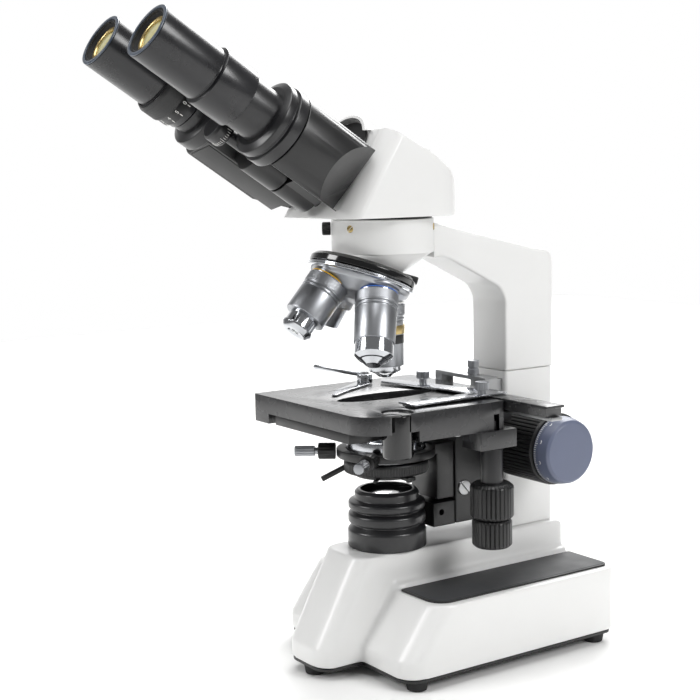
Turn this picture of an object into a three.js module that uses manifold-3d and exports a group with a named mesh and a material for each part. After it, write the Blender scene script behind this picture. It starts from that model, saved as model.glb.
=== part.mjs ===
// A binocular laboratory microscope: every sub-part is its own closed, named mesh.
// Units are millimetres. +Z is up, the eyepieces look out towards -Y, and the stage controls are on +X.
// Inside this file heights are measured from the table and x = y = 0 is the optical axis.
// The exported group is lowered so that the origin lies on the underside of the base plate.
import * as THREE from "three";
import { mergeVertices } from "three/addons/utils/BufferGeometryUtils.js";
import Module from "manifold-3d";

const wasm = await Module();
wasm.setup();

// ---------------------------------------------------------------- driving dimensions
const GAP = 0.3;                    // clearance between touching pieces
const ROUND = 28;                   // facets on a large turned piece
const FINE_ROUND = 16;              // facets on a small turned piece

const FOOT_HEIGHT = 5.4;
const PLATE_TOP = 7.2;
const BASE_BOTTOM = PLATE_TOP + GAP;
const WING_HALF_WIDTH = 65;
const WING_TOP = 46.3;
const SPINE_HALF_WIDTH = 20.5;
const SPINE_TOP = 67.3;
const BASE_REAR = 123;
const WALL = 3;

const ARM_HALF_WIDTH = 16;
const ARM_FRONT = 79;
const ARM_BACK = 117;
const ARM_SEAM = 164.5;
const CARRIER_RADIUS = 29.5;
const CARRIER_BOTTOM = 239.8;
const CARRIER_TOP = 259.5;

const NOSE_APEX = 267;              // where the axes of all objectives meet, on the optical axis
const NOSE_TILT = 20.9;             // degrees between the nosepiece axis and the vertical
const SHOULDER = 54.5;              // apex to objective shoulder
const OBJECTIVE_LENGTH = 45;        // shoulder to front lens of the longest objective
const TURRET_RADIUS = 31.5;

const FOCUS_Y = 85;                 // focusing shaft axis
const FOCUS_Z = 122;
const PINION_RADIUS = 6;

const STAGE_TOP = 156.2;
const STAGE_SPLIT = 145.8;          // between the moving upper plate and the fixed lower plate
const STAGE_BOTTOM = 139.9;
const STAGE_HALF_WIDTH = 58.5;
const STAGE_FRONT = -54.5;
const STAGE_REAR = 41.5;
const DRIVE_X = 54;                 // coaxial stage drive axis
const DRIVE_Y = 35.5;

const OCULAR_TILT = 32.8;           // degrees between the eyepiece tubes and the horizontal
const HINGE = [0, -44.9, 271.6];    // butterfly hinge, at the front face of the head
const ARM_RADIUS = 29.2;            // hinge to eyepiece tube
const ARM_LIFT = 20;                // degrees each tube stands above the level position
const HOUSING_RADIUS = 22;
const FACET_TURN = 39;              // degrees the outer facet of each housing faces below the level
const HOOD_CENTRE = 30.5;           // hinge axis to the centre of the hood and its cover disc
const HOOD_RADIUS = 23;
const EYE_PLANE = 142;              // hinge face to the rim of the eyepieces

// ---------------------------------------------------------------- finishes
const finish = (color, roughness, metalness = 0) =>
  new THREE.MeshStandardMaterial({ color, roughness, metalness });
const WHITE = finish(0xe9e9e7, 0.35);
const BLACK = finish(0x26272a, 0.5);
const GLOSS_BLACK = finish(0x0e0e10, 0.2);
const RUBBER = finish(0x1a1a1b, 0.85);
const PAD = finish(0x3d3f42, 0.7);
const CHROME = finish(0xd9dbde, 0.15, 1);
const SATIN = finish(0xb9bcc0, 0.35, 1);
const BRASS = finish(0xc9b37a, 0.3, 1);
const BLUE_GREY = finish(0x6b728a, 0.45);
const GLASS = finish(0xd8e0c4, 0.05);

// ---------------------------------------------------------------- solids
const rad = THREE.MathUtils.degToRad;

/** A closed solid that can be joined, cut and turned into a named mesh. */
class Solid {
  constructor(source) {
    this.body = source instanceof THREE.BufferGeometry ? Solid.fromGeometry(source) : source;
  }

  static fromGeometry(geometry) {
    const bare = geometry.index ? geometry.toNonIndexed() : geometry.clone();
    bare.deleteAttribute("normal");
    bare.deleteAttribute("uv");
    const merged = mergeVertices(bare, 1e-4);
    return new wasm.Manifold(new wasm.Mesh({
      numProp: 3,
      vertProperties: new Float32Array(merged.attributes.position.array),
      triVerts: new Uint32Array(merged.index.array),
    }));
  }

  join(...others) {
    return new Solid(others.reduce((sum, other) => sum.add(other.body), this.body));
  }

  cut(...others) {
    return new Solid(others.reduce((rest, other) => rest.subtract(other.body), this.body));
  }

  keep(other) {
    return new Solid(this.body.intersect(other.body));
  }

  mesh(name, material) {
    const { vertProperties, triVerts } = this.body.getMesh();
    const geometry = new THREE.BufferGeometry();
    geometry.setAttribute("position", new THREE.BufferAttribute(vertProperties, 3));
    geometry.setIndex(new THREE.BufferAttribute(triVerts, 1));
    const mesh = new THREE.Mesh(geometry, material);
    mesh.name = name;
    return mesh;
  }
}

/** A box between two corners. */
function block(x0, x1, y0, y1, z0, z1) {
  const box = new THREE.BoxGeometry(x1 - x0, y1 - y0, z1 - z0);
  return new Solid(box.translate((x0 + x1) / 2, (y0 + y1) / 2, (z0 + z1) / 2));
}

/** Turn a geometry whose long axis is +Z so that the axis points along a unit vector. */
function aimed(geometry, axis) {
  const turn = new THREE.Quaternion().setFromUnitVectors(new THREE.Vector3(0, 0, 1), axis);
  return geometry.applyQuaternion(turn);
}

/** A round bar between two points. */
function rod(radius, from, to, segments = FINE_ROUND) {
  const start = new THREE.Vector3(...from);
  const end = new THREE.Vector3(...to);
  const bar = new THREE.CylinderGeometry(radius, radius, start.distanceTo(end), segments);
  aimed(bar.rotateX(Math.PI / 2), end.clone().sub(start).normalize());
  const middle = start.clone().add(end).multiplyScalar(0.5);
  return new Solid(bar.translate(middle.x, middle.y, middle.z));
}

/** A turned piece about the Z axis: [radius, height] points that close on themselves or on the axis. */
function turned(profile, segments = ROUND, at = [0, 0, 0]) {
  const points = profile.map(([radius, height]) => new THREE.Vector2(radius, height));
  if (profile[0][0] > 0) points.push(points[0].clone());
  const lathe = new THREE.LatheGeometry(points, segments).rotateX(Math.PI / 2);
  const solid = new Solid(lathe.translate(...at));
  return solid.body.volume() < 0 ? flipped(lathe) : solid;
}

/** The same closed surface with its faces turned the other way. */
function flipped(geometry) {
  const index = geometry.index.array;
  for (let i = 0; i < index.length; i += 3) [index[i], index[i + 1]] = [index[i + 1], index[i]];
  return new Solid(geometry);
}

/** A plan outline with rounded corners, as [x, y, radius] points in order. */
function outline(corners) {
  const shape = new THREE.Shape();
  corners.forEach(([x, y, radius = 0], i) => {
    const [px, py] = corners.at(i - 1);
    const [nx, ny] = corners[(i + 1) % corners.length];
    const here = new THREE.Vector2(x, y);
    const towardsBack = new THREE.Vector2(px, py).sub(here);
    const towardsNext = new THREE.Vector2(nx, ny).sub(here);
    const reach = Math.min(radius, 0.45 * towardsBack.length(), 0.45 * towardsNext.length());
    const back = towardsBack.setLength(reach).add(here);
    const ahead = towardsNext.setLength(reach).add(here);
    if (i === 0) shape.moveTo(back.x, back.y);
    else shape.lineTo(back.x, back.y);
    if (reach) shape.quadraticCurveTo(x, y, ahead.x, ahead.y);
  });
  return shape;
}

/** An outline extruded upwards from z0 to z1. */
function plate(shape, z0, z1, curveSegments = 6) {
  const options = { depth: z1 - z0, bevelEnabled: false, curveSegments };
  return new Solid(new THREE.ExtrudeGeometry(shape, options).translate(0, 0, z0));
}

/** A side profile of [y, z, radius] points extruded across from x0 to x1. */
function sidePlate(corners, x0, x1, curveSegments = 6) {
  const options = { depth: x1 - x0, bevelEnabled: false, curveSegments };
  const geometry = new THREE.ExtrudeGeometry(outline(corners), options);
  const basis = new THREE.Matrix4().makeBasis(
    new THREE.Vector3(0, 1, 0), new THREE.Vector3(0, 0, 1), new THREE.Vector3(1, 0, 0));
  return new Solid(geometry.applyMatrix4(basis).translate(x0, 0, 0));
}

/** A block whose front (every point ahead of y = 0) leans back by `setback` at the top. */
function leaning(shape, z0, z1, setback) {
  const options = { depth: z1 - z0, bevelEnabled: false, curveSegments: 6 };
  const geometry = new THREE.ExtrudeGeometry(shape, options).translate(0, 0, z0);
  const { position } = geometry.attributes;
  for (let i = 0; i < position.count; i += 1) {
    if (position.getZ(i) > z1 - 0.01 && position.getY(i) < 0) {
      position.setY(i, position.getY(i) + setback);
    }
  }
  return new Solid(geometry);
}

/** A solid skin from a level circle at height z0 down to a circle tilted about X, centred at `low`. */
function wedge(topRadius, z0, lowRadius, low, tilt) {
  const rings = [
    (angle) => new THREE.Vector3(topRadius * Math.cos(angle), topRadius * Math.sin(angle), z0),
    (angle) => new THREE.Vector3(lowRadius * Math.cos(angle), lowRadius * Math.sin(angle), 0)
      .applyAxisAngle(new THREE.Vector3(1, 0, 0), rad(-tilt)).add(low),
  ];
  const angles = Array.from({ length: ROUND }, (_, i) => 2 * Math.PI * i / ROUND);
  const points = rings.flatMap((ring) => angles.map(ring));
  points.push(new THREE.Vector3(0, 0, z0), low);
  const faces = [];
  for (let i = 0; i < ROUND; i += 1) {
    const next = (i + 1) % ROUND;
    faces.push(i, i + ROUND, next, next, i + ROUND, next + ROUND);
    faces.push(i, next, 2 * ROUND, next + ROUND, i + ROUND, 2 * ROUND + 1);
  }
  const geometry = new THREE.BufferGeometry().setFromPoints(points);
  geometry.setIndex(faces);
  return new Solid(geometry);
}

/** A round knob along +Z with a chamfer at each end. */
function knob(radius, z0, z1, segments = ROUND) {
  const chamfer = 1;
  return turned([[0, z0], [radius - chamfer, z0], [radius, z0 + chamfer], [radius, z1 - chamfer],
    [radius - chamfer, z1], [0, z1]], segments);
}

/** Place a solid's mesh inside its group. */
function add(group, name, solid, material) {
  group.add(solid.mesh(name, material));
}

function groupAt(parent, position = [0, 0, 0]) {
  const group = new THREE.Group();
  group.position.set(...position);
  parent.add(group);
  return group;
}

// ---------------------------------------------------------------- base
const wingOutline = (inset) => outline([
  [-WING_HALF_WIDTH + inset, -33.5 + inset, 13], [WING_HALF_WIDTH - inset, -33.5 + inset, 13],
  [WING_HALF_WIDTH - inset, BASE_REAR - inset, 8], [-WING_HALF_WIDTH + inset, BASE_REAR - inset, 8]]);
const noseOutline = (halfWidth, front, inset) => outline([
  [-halfWidth + inset, front + inset, 11], [halfWidth - inset, front + inset, 11],
  [halfWidth - inset, BASE_REAR - inset, 3], [-halfWidth + inset, BASE_REAR - inset, 3]]);

/** The base casting's body, shrunk by `inset` for its hollow inside. */
function baseBody(inset) {
  const sill = 17.5;
  const floor = BASE_BOTTOM - (inset ? 1 : 0);
  const wings = plate(wingOutline(inset), floor, sill)
    .join(leaning(wingOutline(inset), sill, WING_TOP - inset, 21.5));
  const ledge = plate(noseOutline(24.5, -36, inset), floor, sill)
    .join(leaning(noseOutline(24.5, -36, inset), sill, 50 - inset, 21.5));
  const spine = plate(noseOutline(SPINE_HALF_WIDTH, -60.5, inset), floor, sill + 0.5)
    .join(leaning(noseOutline(SPINE_HALF_WIDTH, -60.5, inset), sill + 0.5, SPINE_TOP - inset, 27));
  return wings.join(ledge, spine);
}

function buildBase(stand) {
  const lampHole = rod(15.5, [0, 0, 55], [0, 0, 75]);
  const switchHole = block(-14, 8, BASE_REAR - 6, BASE_REAR + 2, 26, 41);
  const inletHole = block(18, 46, BASE_REAR - 6, BASE_REAR + 2, 16, 37);
  const housing = baseBody(0).cut(baseBody(WALL), lampHole, switchHole, inletHole);
  add(stand, "base_housing", housing, WHITE);

  const plateSolid = plate(wingOutline(1), FOOT_HEIGHT, PLATE_TOP)
    .join(plate(noseOutline(SPINE_HALF_WIDTH, -60.5, 1), FOOT_HEIGHT, PLATE_TOP));
  add(stand, "base_plate", plateSolid, RUBBER);

  const footProfile = [[0, 0], [5.4, 0], [5.9, 0.6], [6.5, FOOT_HEIGHT - 0.1], [0, FOOT_HEIGHT - 0.1]];
  const feet = {
    foot_nose: [0, -52.5, 0],
    foot_front_right: [56.5, -21.5, 0],
    foot_front_left: [-56.5, -21.5, 0],
    foot_rear_right: [56.5, 113, 0],
    foot_rear_left: [-56.5, 113, 0],
  };
  for (const [name, spot] of Object.entries(feet)) {
    add(stand, name, turned(footProfile, FINE_ROUND, spot), RUBBER);
  }

  for (const [name, side] of [["pad_right", 1], ["pad_left", -1]]) {
    const corners = [[25.5, -9.5, 1], [60.5, -9.5, 11], [60.5, 122, 5], [25.5, 122, 1]];
    const mirrored = corners.map(([x, y, radius]) => [side * x, y, radius]);
    const shape = outline(side > 0 ? mirrored : mirrored.reverse());
    add(stand, name, plate(shape, WING_TOP + 0.1, WING_TOP + 1.5), PAD);
  }

  // The rear panel: rocker switch, appliance inlet; the dimmer wheel is on the left of the spine.
  const rocker = sidePlate([[BASE_REAR - 4, 28], [BASE_REAR + 0.6, 28], [BASE_REAR + 0.4, 33.5],
    [BASE_REAR + 2.6, 39], [BASE_REAR - 4, 39]], -12.5, 6.5);
  add(stand, "rocker_switch", rocker, GLOSS_BLACK);
  const inlet = block(18.3, 45.7, BASE_REAR - 5, BASE_REAR + 1.2, 16.3, 36.7)
    .cut(block(22, 42, BASE_REAR - 3, BASE_REAR + 2, 20, 33));
  add(stand, "mains_inlet", inlet, BLACK);
  const dimmerBoss = rod(7.5, [-SPINE_HALF_WIDTH - GAP, 40, 58.5], [-SPINE_HALF_WIDTH - 7, 40, 58.5]);
  add(stand, "dimmer_knob", dimmerBoss, BLACK);
}

// ---------------------------------------------------------------- lamp
function buildLamp(stand) {
  const z = SPINE_TOP + 0.1;
  const outer = [[23.2, z], [23.2, 80], [20.8, 80.8], [22.9, 81.8], [22.9, 87.4], [20.6, 88.6], [22.7, 90],
    [22.7, 94.8], [18.9, 95.6], [18.9, 99.6], [17.4, 101.4]];
  const inner = [[14.4, 101.4], [14.4, 99.8], [16.2, 99.6], [16.2, 92], [14.2, 92], [14.2, z]];
  add(stand, "lamp_collar", turned([...outer, ...inner], ROUND), BLACK);
  const lens = [[0, 92.2], [15.8, 92.2], [15.8, 95.4], [9, 98.2], [0, 99.2]];
  add(stand, "collector_lens", turned(lens, FINE_ROUND), GLASS);
  const bulb = [[0, 56], [12, 56], [12, 60], [6, 60], [6, 80], [4, 86], [0, 87.4]];
  add(stand, "lamp_bulb", turned(bulb, FINE_ROUND), GLASS);
}

// ---------------------------------------------------------------- arm and pillar
function buildArm(stand) {
  const pillarShell = sidePlate([[ARM_FRONT, SPINE_TOP + 0.1], [ARM_BACK, SPINE_TOP + 0.1],
    [ARM_BACK, ARM_SEAM - 0.1], [ARM_FRONT, ARM_SEAM - 0.1]], -ARM_HALF_WIDTH, ARM_HALF_WIDTH);
  const railSlot = block(-5.6, 5.6, ARM_FRONT - 1, 92.4, 84, 160);
  const shaftBore = rod(7.3, [-20, FOCUS_Y, FOCUS_Z], [20, FOCUS_Y, FOCUS_Z]);
  const core = block(-11, 11, 95, 112, 60, 160);
  const rails = [-10, 10].map((x) => block(x - 2.5, x + 2.5, ARM_FRONT - 5, ARM_FRONT + 1, 84, 160));
  add(stand, "pillar", pillarShell.cut(railSlot, core).join(...rails).cut(shaftBore), WHITE);

  const armProfile = [[10, 236.3], [31.5, 236.3, 2], [36.6, 235, 3], [74.5, 216.8, 9], [ARM_FRONT, 209, 2],
    [ARM_FRONT, ARM_SEAM + 0.1], [ARM_BACK, ARM_SEAM + 0.1], [ARM_BACK, 236, 14], [104, 238, 8],
    [23, 257.3], [10, 257.3]];
  const armCore = sidePlate([[40, 239], [76, 223], [84, 212], [84, 160], [112, 160], [112, 230], [100, 233.5],
    [40, 247]], -11, 11);
  const clearOfRing = rod(CARRIER_RADIUS + GAP, [0, 0, 220], [0, 0, 270], ROUND);
  const arm = sidePlate(armProfile, -ARM_HALF_WIDTH, ARM_HALF_WIDTH).cut(clearOfRing, armCore);
  add(stand, "arm", arm, WHITE);
}

// ---------------------------------------------------------------- nosepiece, in its own tilted frame
/** A turned objective: distances run from the shoulder towards the specimen, along -Z. */
function objective(steps) {
  const profile = [[0, 0], ...steps.map(([radius, reach]) => [radius, -reach])];
  const [, lastReach] = steps.at(-1);
  return turned([...profile, [0, -lastReach]], FINE_ROUND);
}

function buildNosepiece(stand) {
  const nose = groupAt(stand, [0, 0, NOSE_APEX]);
  nose.rotation.x = rad(-NOSE_TILT);

  const opticalPath = rod(9, [0, 0, 200], [0, 0, 280]);
  const seatAxis = new THREE.Vector3(0, -Math.sin(rad(NOSE_TILT)), -Math.cos(rad(NOSE_TILT)));
  const along = (reach) => seatAxis.clone().multiplyScalar(reach).add(new THREE.Vector3(0, 0, NOSE_APEX));
  const ring = turned([[0, CARRIER_BOTTOM], [CARRIER_RADIUS, CARRIER_BOTTOM], [CARRIER_RADIUS, CARRIER_TOP],
    [0, CARRIER_TOP]], ROUND);
  const seat = wedge(CARRIER_RADIUS - 0.2, CARRIER_BOTTOM + 1, 20, along(37 - GAP), NOSE_TILT);
  add(stand, "head_carrier", ring.join(seat).cut(opticalPath), WHITE);

  const cap = turned([[0, -37.3], [20.8, -37.3], [21.6, -36.8], [29, -36.8], [31, -38.6], [31.2, -42],
    [0, -42]], ROUND);
  const capPath = new Solid(new THREE.CylinderGeometry(8, 8, 80, FINE_ROUND).rotateX(Math.PI / 2)
    .rotateX(rad(NOSE_TILT)));
  add(nose, "nosepiece_cap", cap.cut(capPath), GLOSS_BLACK);

  const dish = turned([[0, -42.3], [30.6, -42.3], [TURRET_RADIUS, -43], [TURRET_RADIUS, -45.2], [28.5, -48.2],
    [20, -54.6], [10, -58], [0, -59.5]], ROUND);
  const stations = [0, 1, 2, 3].map((turn) => rad(turn * 90));
  const axisOf = (angle) => new THREE.Vector3(
    Math.sin(rad(NOSE_TILT)) * Math.sin(angle), Math.sin(rad(NOSE_TILT)) * Math.cos(angle),
    -Math.cos(rad(NOSE_TILT)));
  let turret = dish;
  for (const angle of stations) {
    const axis = axisOf(angle);
    const seatFrom = axis.clone().multiplyScalar(SHOULDER - GAP).toArray();
    turret = turret.cut(rod(13.2, seatFrom, axis.clone().multiplyScalar(80).toArray()))
      .cut(rod(8, axis.clone().multiplyScalar(30).toArray(), axis.clone().multiplyScalar(60).toArray()));
  }
  add(nose, "turret", turret, CHROME);

  const knurl = [[10.4, 0], [10.4, 1.8], [12.3, 2.4], [12.3, 8.6], [11.9, 12.6], [11.4, 13]];
  const objectives = {
    objective_100x: { turn: 0, material: SATIN, steps: [...knurl, [11.4, 38], [9.6, 38.4], [9.6, 41.5],
      [3.6, OBJECTIVE_LENGTH]] },
    objective_40x: { turn: 1, material: SATIN, steps: [...knurl, [11.4, 31], [10.8, 31.4], [10.8, 39],
      [4.2, 44.4]] },
    objective_10x: { turn: 2, material: SATIN, steps: [...knurl, [11.4, 27], [8.6, 27.4], [8.6, 34.6],
      [7.2, 37.6]] },
    objective_4x: { turn: 3, material: SATIN, steps: [[10.4, 0], [10.4, 1.8], [12.3, 2.4], [12.3, 8.6],
      [10.4, 9], [10.4, 21.4], [9.6, 22.2]] },
  };
  for (const [name, { turn, material, steps }] of Object.entries(objectives)) {
    const station = groupAt(nose);
    station.rotation.z = -stations[turn];
    const tilt = groupAt(station);
    tilt.rotation.x = rad(NOSE_TILT);
    const seated = groupAt(tilt, [0, 0, -SHOULDER]);
    add(seated, name, objective(steps), material);
  }
}

// ---------------------------------------------------------------- focusing
/** A group whose +Z points along +X or -X, at the focusing shaft. */
function knobGroup(parent, side, y, z) {
  const group = groupAt(parent, [0, y, z]);
  group.rotation.y = side * Math.PI / 2;
  return group;
}

function buildFocus(stand) {
  const across = (radius, from, to) => rod(radius, [from, FOCUS_Y, FOCUS_Z], [to, FOCUS_Y, FOCUS_Z]);
  const coarseShaft = across(5, -30, 30).join(across(PINION_RADIUS, -4.8, 4.8)).cut(across(3.4, -31, 31));
  add(stand, "coarse_shaft", coarseShaft, SATIN);
  add(stand, "fine_shaft", across(3, -58, 58), SATIN);
  for (const [suffix, side] of [["right", 1], ["left", -1]]) {
    const knobs = knobGroup(stand, side, FOCUS_Y, FOCUS_Z);
    const coarse = knob(21.5, 18.5, 55)
      .cut(rod(5.3, [0, 0, 18], [0, 0, 30.6]), rod(3.4, [0, 0, 30], [0, 0, 56]));
    add(knobs, `coarse_knob_${suffix}`, coarse, BLACK);
    const fine = turned([[0, 55.6], [20, 55.6], [20, 62.5], [18.2, 66.4], [17, 67], [0, 67]], ROUND)
      .cut(rod(3.3, [0, 0, 55], [0, 0, 58.4]));
    add(knobs, `fine_knob_${suffix}`, fine, BLUE_GREY);
  }

  // The carriage rides on the two guide rails; its rear tongue is the rack that the pinion drives.
  const railChannels = [-10, 10].map((x) => block(x - 2.9, x + 2.9, 73.5, 80, 70, 160));
  const carriage = block(-14, 14, 41, ARM_FRONT - 1, 76, 133)
    .join(block(-14, 14, 44, 72, 133, STAGE_BOTTOM - GAP))
    .join(block(-13, 13, 25, 42, 75.5, 90))
    .cut(...railChannels, rod(1.9, [-14, 31, 84], [14, 31, 84]))
    .join(block(-5, 5, 70, FOCUS_Y - PINION_RADIUS - GAP, 92, 136));
  add(stand, "focus_carriage", carriage, BLACK);
}

// ---------------------------------------------------------------- condenser
function buildCondenser(stand) {
  const slide = block(-13, 13, 27.6, 40.5, 92, 121)
    .join(turned([[0, 121], [29, 121], [29, 126], [0, 126]], ROUND), block(-13, 13, 20, 40.5, 119.6, 126))
    .cut(rod(23.6, [0, 0, 110], [0, 0, 140], ROUND));
  add(stand, "condenser_carrier", slide, BLACK);

  const body = turned([[23.2, 119.4], [23.2, 132], [17.5, 133], [14, 142.5], [10, 142.5],
    [10, 119.4]], ROUND);
  add(stand, "condenser_body", body, CHROME);
  const topLens = turned([[0, 134], [9.7, 134], [9.7, 143.6], [7, 144.6], [0, 145]], FINE_ROUND);
  add(stand, "condenser_lens", topLens, GLASS);

  const iris = turned([[25, 112], [25, 119], [9, 119], [9, 117], [21, 116.6], [21, 112]], ROUND)
    .join(rod(1.7, [-12.6, -20.4, 114.4], [-19.8, -32.5, 107.4], 12));
  add(stand, "iris_ring", iris, BLACK);

  const holder = turned([[18.5, 109.4], [18.5, 111.7], [16.2, 111.7], [16.2, 110.2], [14, 110.2],
    [14, 109.4]], ROUND)
    .join(block(17, 25.4, -3, 3, 109.4, 111.7), rod(1.1, [11.4, -13.6, 110.5], [17.4, -20.7, 110.5], 12));
  add(stand, "filter_holder", holder, BLACK);

  // Two centring screws lie in the carrier ring at the front left and front right.
  for (const [name, azimuth] of [["centring_screw_left", -128], ["centring_screw_right", -52]]) {
    const dir = [Math.cos(rad(azimuth)), Math.sin(rad(azimuth))];
    const at = (reach) => [dir[0] * reach, dir[1] * reach, 123.5];
    const screw = rod(5, at(29.6), at(40)).join(rod(2, at(39), at(42)), rod(3.1, at(41.5), at(54)));
    add(stand, name, screw, CHROME);
  }

  // The condenser height knob turns a cross shaft in the carriage, left side.
  const heightKnob = rod(9.5, [-17, 46, 106], [-31, 46, 106], 32)
    .join(rod(2.6, [-14.2, 46, 106], [-17.5, 46, 106]));
  add(stand, "condenser_knob", heightKnob, BLACK);
}

// ---------------------------------------------------------------- stage
function buildStage(stand) {
  const ring = new THREE.EllipseCurve(0, 0, 11, 33).getPoints(36).slice(0, -1);
  const aperture = plate(new THREE.Shape(ring), 130, 170);
  const lower = block(-36.4, 41, STAGE_FRONT + 1, 62, STAGE_BOTTOM, STAGE_SPLIT - GAP)
    .cut(rod(27, [0, 0, 130], [0, 0, 150], ROUND));
  add(stand, "stage_lower", lower, BLACK);

  const topOutline = outline([[-STAGE_HALF_WIDTH, STAGE_FRONT, 1], [STAGE_HALF_WIDTH, STAGE_FRONT, 17],
    [STAGE_HALF_WIDTH, STAGE_REAR, 1], [-STAGE_HALF_WIDTH, STAGE_REAR, 1]]);
  const skirts = block(-STAGE_HALF_WIDTH, -42, STAGE_FRONT, STAGE_REAR, STAGE_BOTTOM, 147)
    .join(block(47, STAGE_HALF_WIDTH, -19, STAGE_REAR, STAGE_BOTTOM, 147))
    .join(block(44, 61.5, 22, 48, 129.5, 140.1));
  const postSeat = rod(9, [50, -27.6, 100], [50, -27.6, 170]);
  const upper = plate(topOutline, STAGE_SPLIT, STAGE_TOP).join(skirts)
    .cut(aperture, postSeat, block(-30, 30, -44, 34, 140, 152.6))
    .cut(rod(4.9, [DRIVE_X, DRIVE_Y, 120], [DRIVE_X, DRIVE_Y, 149]));
  add(stand, "stage_upper", upper, BLACK);
  const post = turned([[0, 131], [7.4, 131], [8.6, 132], [8.6, 154.6], [7.8, 155.6], [0, 155.6]], FINE_ROUND,
    [50, -27.6, 0]);
  add(stand, "stage_post", post, GLOSS_BLACK);

  // X slide: guide bar behind the plate, slide holder on top of it.
  const bar = block(-38, 92, 42, 54, 150.6, 157.2);
  const rail = block(-36, 95, 44, 52, 148.6, 150.8);
  add(stand, "x_guide_bar", bar.join(rail), BLACK);
  const holder = block(-46, 48, 34, 54, 157.5, 159.1)
    .join(block(38.4, 48, -15, 36, 156.5, 157.6), block(38.4, 48, 34, 40, 156.5, 159));
  const fingerOutline = outline([[-56, 14, 4], [-47, 11, 4], [-30, -14, 20], [-16, -27, 1], [-14, -24.5, 1],
    [-24, -8, 20], [-38, 17, 3], [-47, 22.6, 3]]);
  const screws = [-12, 44].map((x) => turned([[0, 158], [2.2, 158], [2.2, 161.4], [4, 161.4], [4, 166],
    [0, 166]], 20, [x, 37, 0]));
  add(stand, "slide_holder", holder.join(...screws), CHROME);
  const finger = plate(fingerOutline, 156.5, 157.6)
    .join(rod(5, [-46, 17.5, 156.6], [-46, 17.5, 164.6]), rod(1.6, [-48, 16, 162.5], [-72, -3, 166], 12));
  add(stand, "slide_finger", finger, CHROME);

  // Coaxial low drive: the sleeve carries the Y knob, the inner rod carries the X knob.
  const at = [DRIVE_X, DRIVE_Y, 0];
  const yDrive = turned([[3.3, 88.6], [11.6, 88.6], [12.6, 89.6], [12.6, 107.6], [11.6, 109], [6.4, 109],
    [6.4, 129.2], [4.6, 129.2], [4.6, 138], [3.3, 138]], 20, at);
  add(stand, "y_drive_knob", yDrive, BLACK);
  const xDrive = turned([[0, 71.6], [10.6, 71.6], [11.5, 72.6], [11.5, 87], [10.6, 88], [3, 88], [3, 145],
    [0, 145]], 20, at);
  add(stand, "x_drive_knob", xDrive, BLACK);

  // The rear stop reaches back from the stage plate below the guide bar and bridges behind it.
  const legs = [-23, 19].flatMap((x) => [
    block(x, x + 6, STAGE_REAR + GAP, 64.4, STAGE_SPLIT, 148.2),
    block(x, x + 6, 55, 64.4, STAGE_SPLIT, 163),
  ]);
  const bracket = block(-23, 25, 55, 64.4, 161.6, 163.8)
    .join(...legs, turned([[0, 162], [3.4, 162], [3.4, 172.6], [0, 172.6]], FINE_ROUND, [8, 60, 0]));
  add(stand, "rear_stop", bracket, SATIN);
}

// ---------------------------------------------------------------- head
function buildHead(stand) {
  const dovetail = turned([[11, CARRIER_TOP + GAP], [28.6, CARRIER_TOP + GAP], [28.6, 260.6], [11, 260.6]],
    ROUND);
  add(stand, "dovetail_ring", dovetail, BLACK);

  const clampDir = [Math.cos(rad(-126)), Math.sin(rad(-126))];
  const at = (reach) => [clampDir[0] * reach, clampDir[1] * reach, 254.2];
  add(stand, "head_clamp_screw", rod(3.8, at(CARRIER_RADIUS + 0.6), at(CARRIER_RADIUS + 5.4)), BLACK);

  const slope = Math.tan(rad(OCULAR_TILT));
  const faceY = (z) => HINGE[1] + 1.8 + (z - HINGE[2]) * slope;
  const bodyTop = 310.3;
  const profile = [[36, 260.9], [36, 272, 6], [30, 281, 6], [8.2, 296.5, 14], [-12.2, 307.4, 10],
    [faceY(bodyTop), bodyTop], [faceY(260.9), 260.9]];
  const planCorners = outline([[-36, -70], [36, -70], [36, 36, 22], [-36, 36, 22]]);
  // The hood arches over the cover disc; its lip stands forward of the face.
  const onFace = (up, out) => [0, HINGE[1] + up * Math.sin(rad(OCULAR_TILT)) - out * Math.cos(rad(OCULAR_TILT)),
    HINGE[2] + up * Math.cos(rad(OCULAR_TILT)) + out * Math.sin(rad(OCULAR_TILT))];
  const hood = rod(HOOD_RADIUS, onFace(HOOD_CENTRE, -1.5), onFace(HOOD_CENTRE, -26), ROUND)
    .cut(block(-40, 40, -80, 80, 200, 285));
  const lip = rod(HOOD_RADIUS, onFace(HOOD_CENTRE, -2.5), onFace(HOOD_CENTRE, 3.5), ROUND)
    .cut(rod(HOOD_RADIUS - 2.4, onFace(HOOD_CENTRE, -1.6), onFace(HOOD_CENTRE, 4), ROUND))
    .cut(block(-40, 40, -80, 80, 200, 309));
  const shell = sidePlate(profile, -36, 36, 8).keep(plate(planCorners, 250, 330));
  const cavity = block(-30, 30, -26, 24, 266, 286).join(rod(10, [0, 0, 250], [0, 0, 270]));
  const axleBore = rod(4.6, [0, -60, HINGE[2] + (HINGE[1] + 60) * slope], [0, -22, HINGE[2] - 22.9 * slope]);
  add(stand, "head_body", shell.join(hood, lip).cut(cavity, axleBore), WHITE);
}

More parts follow.
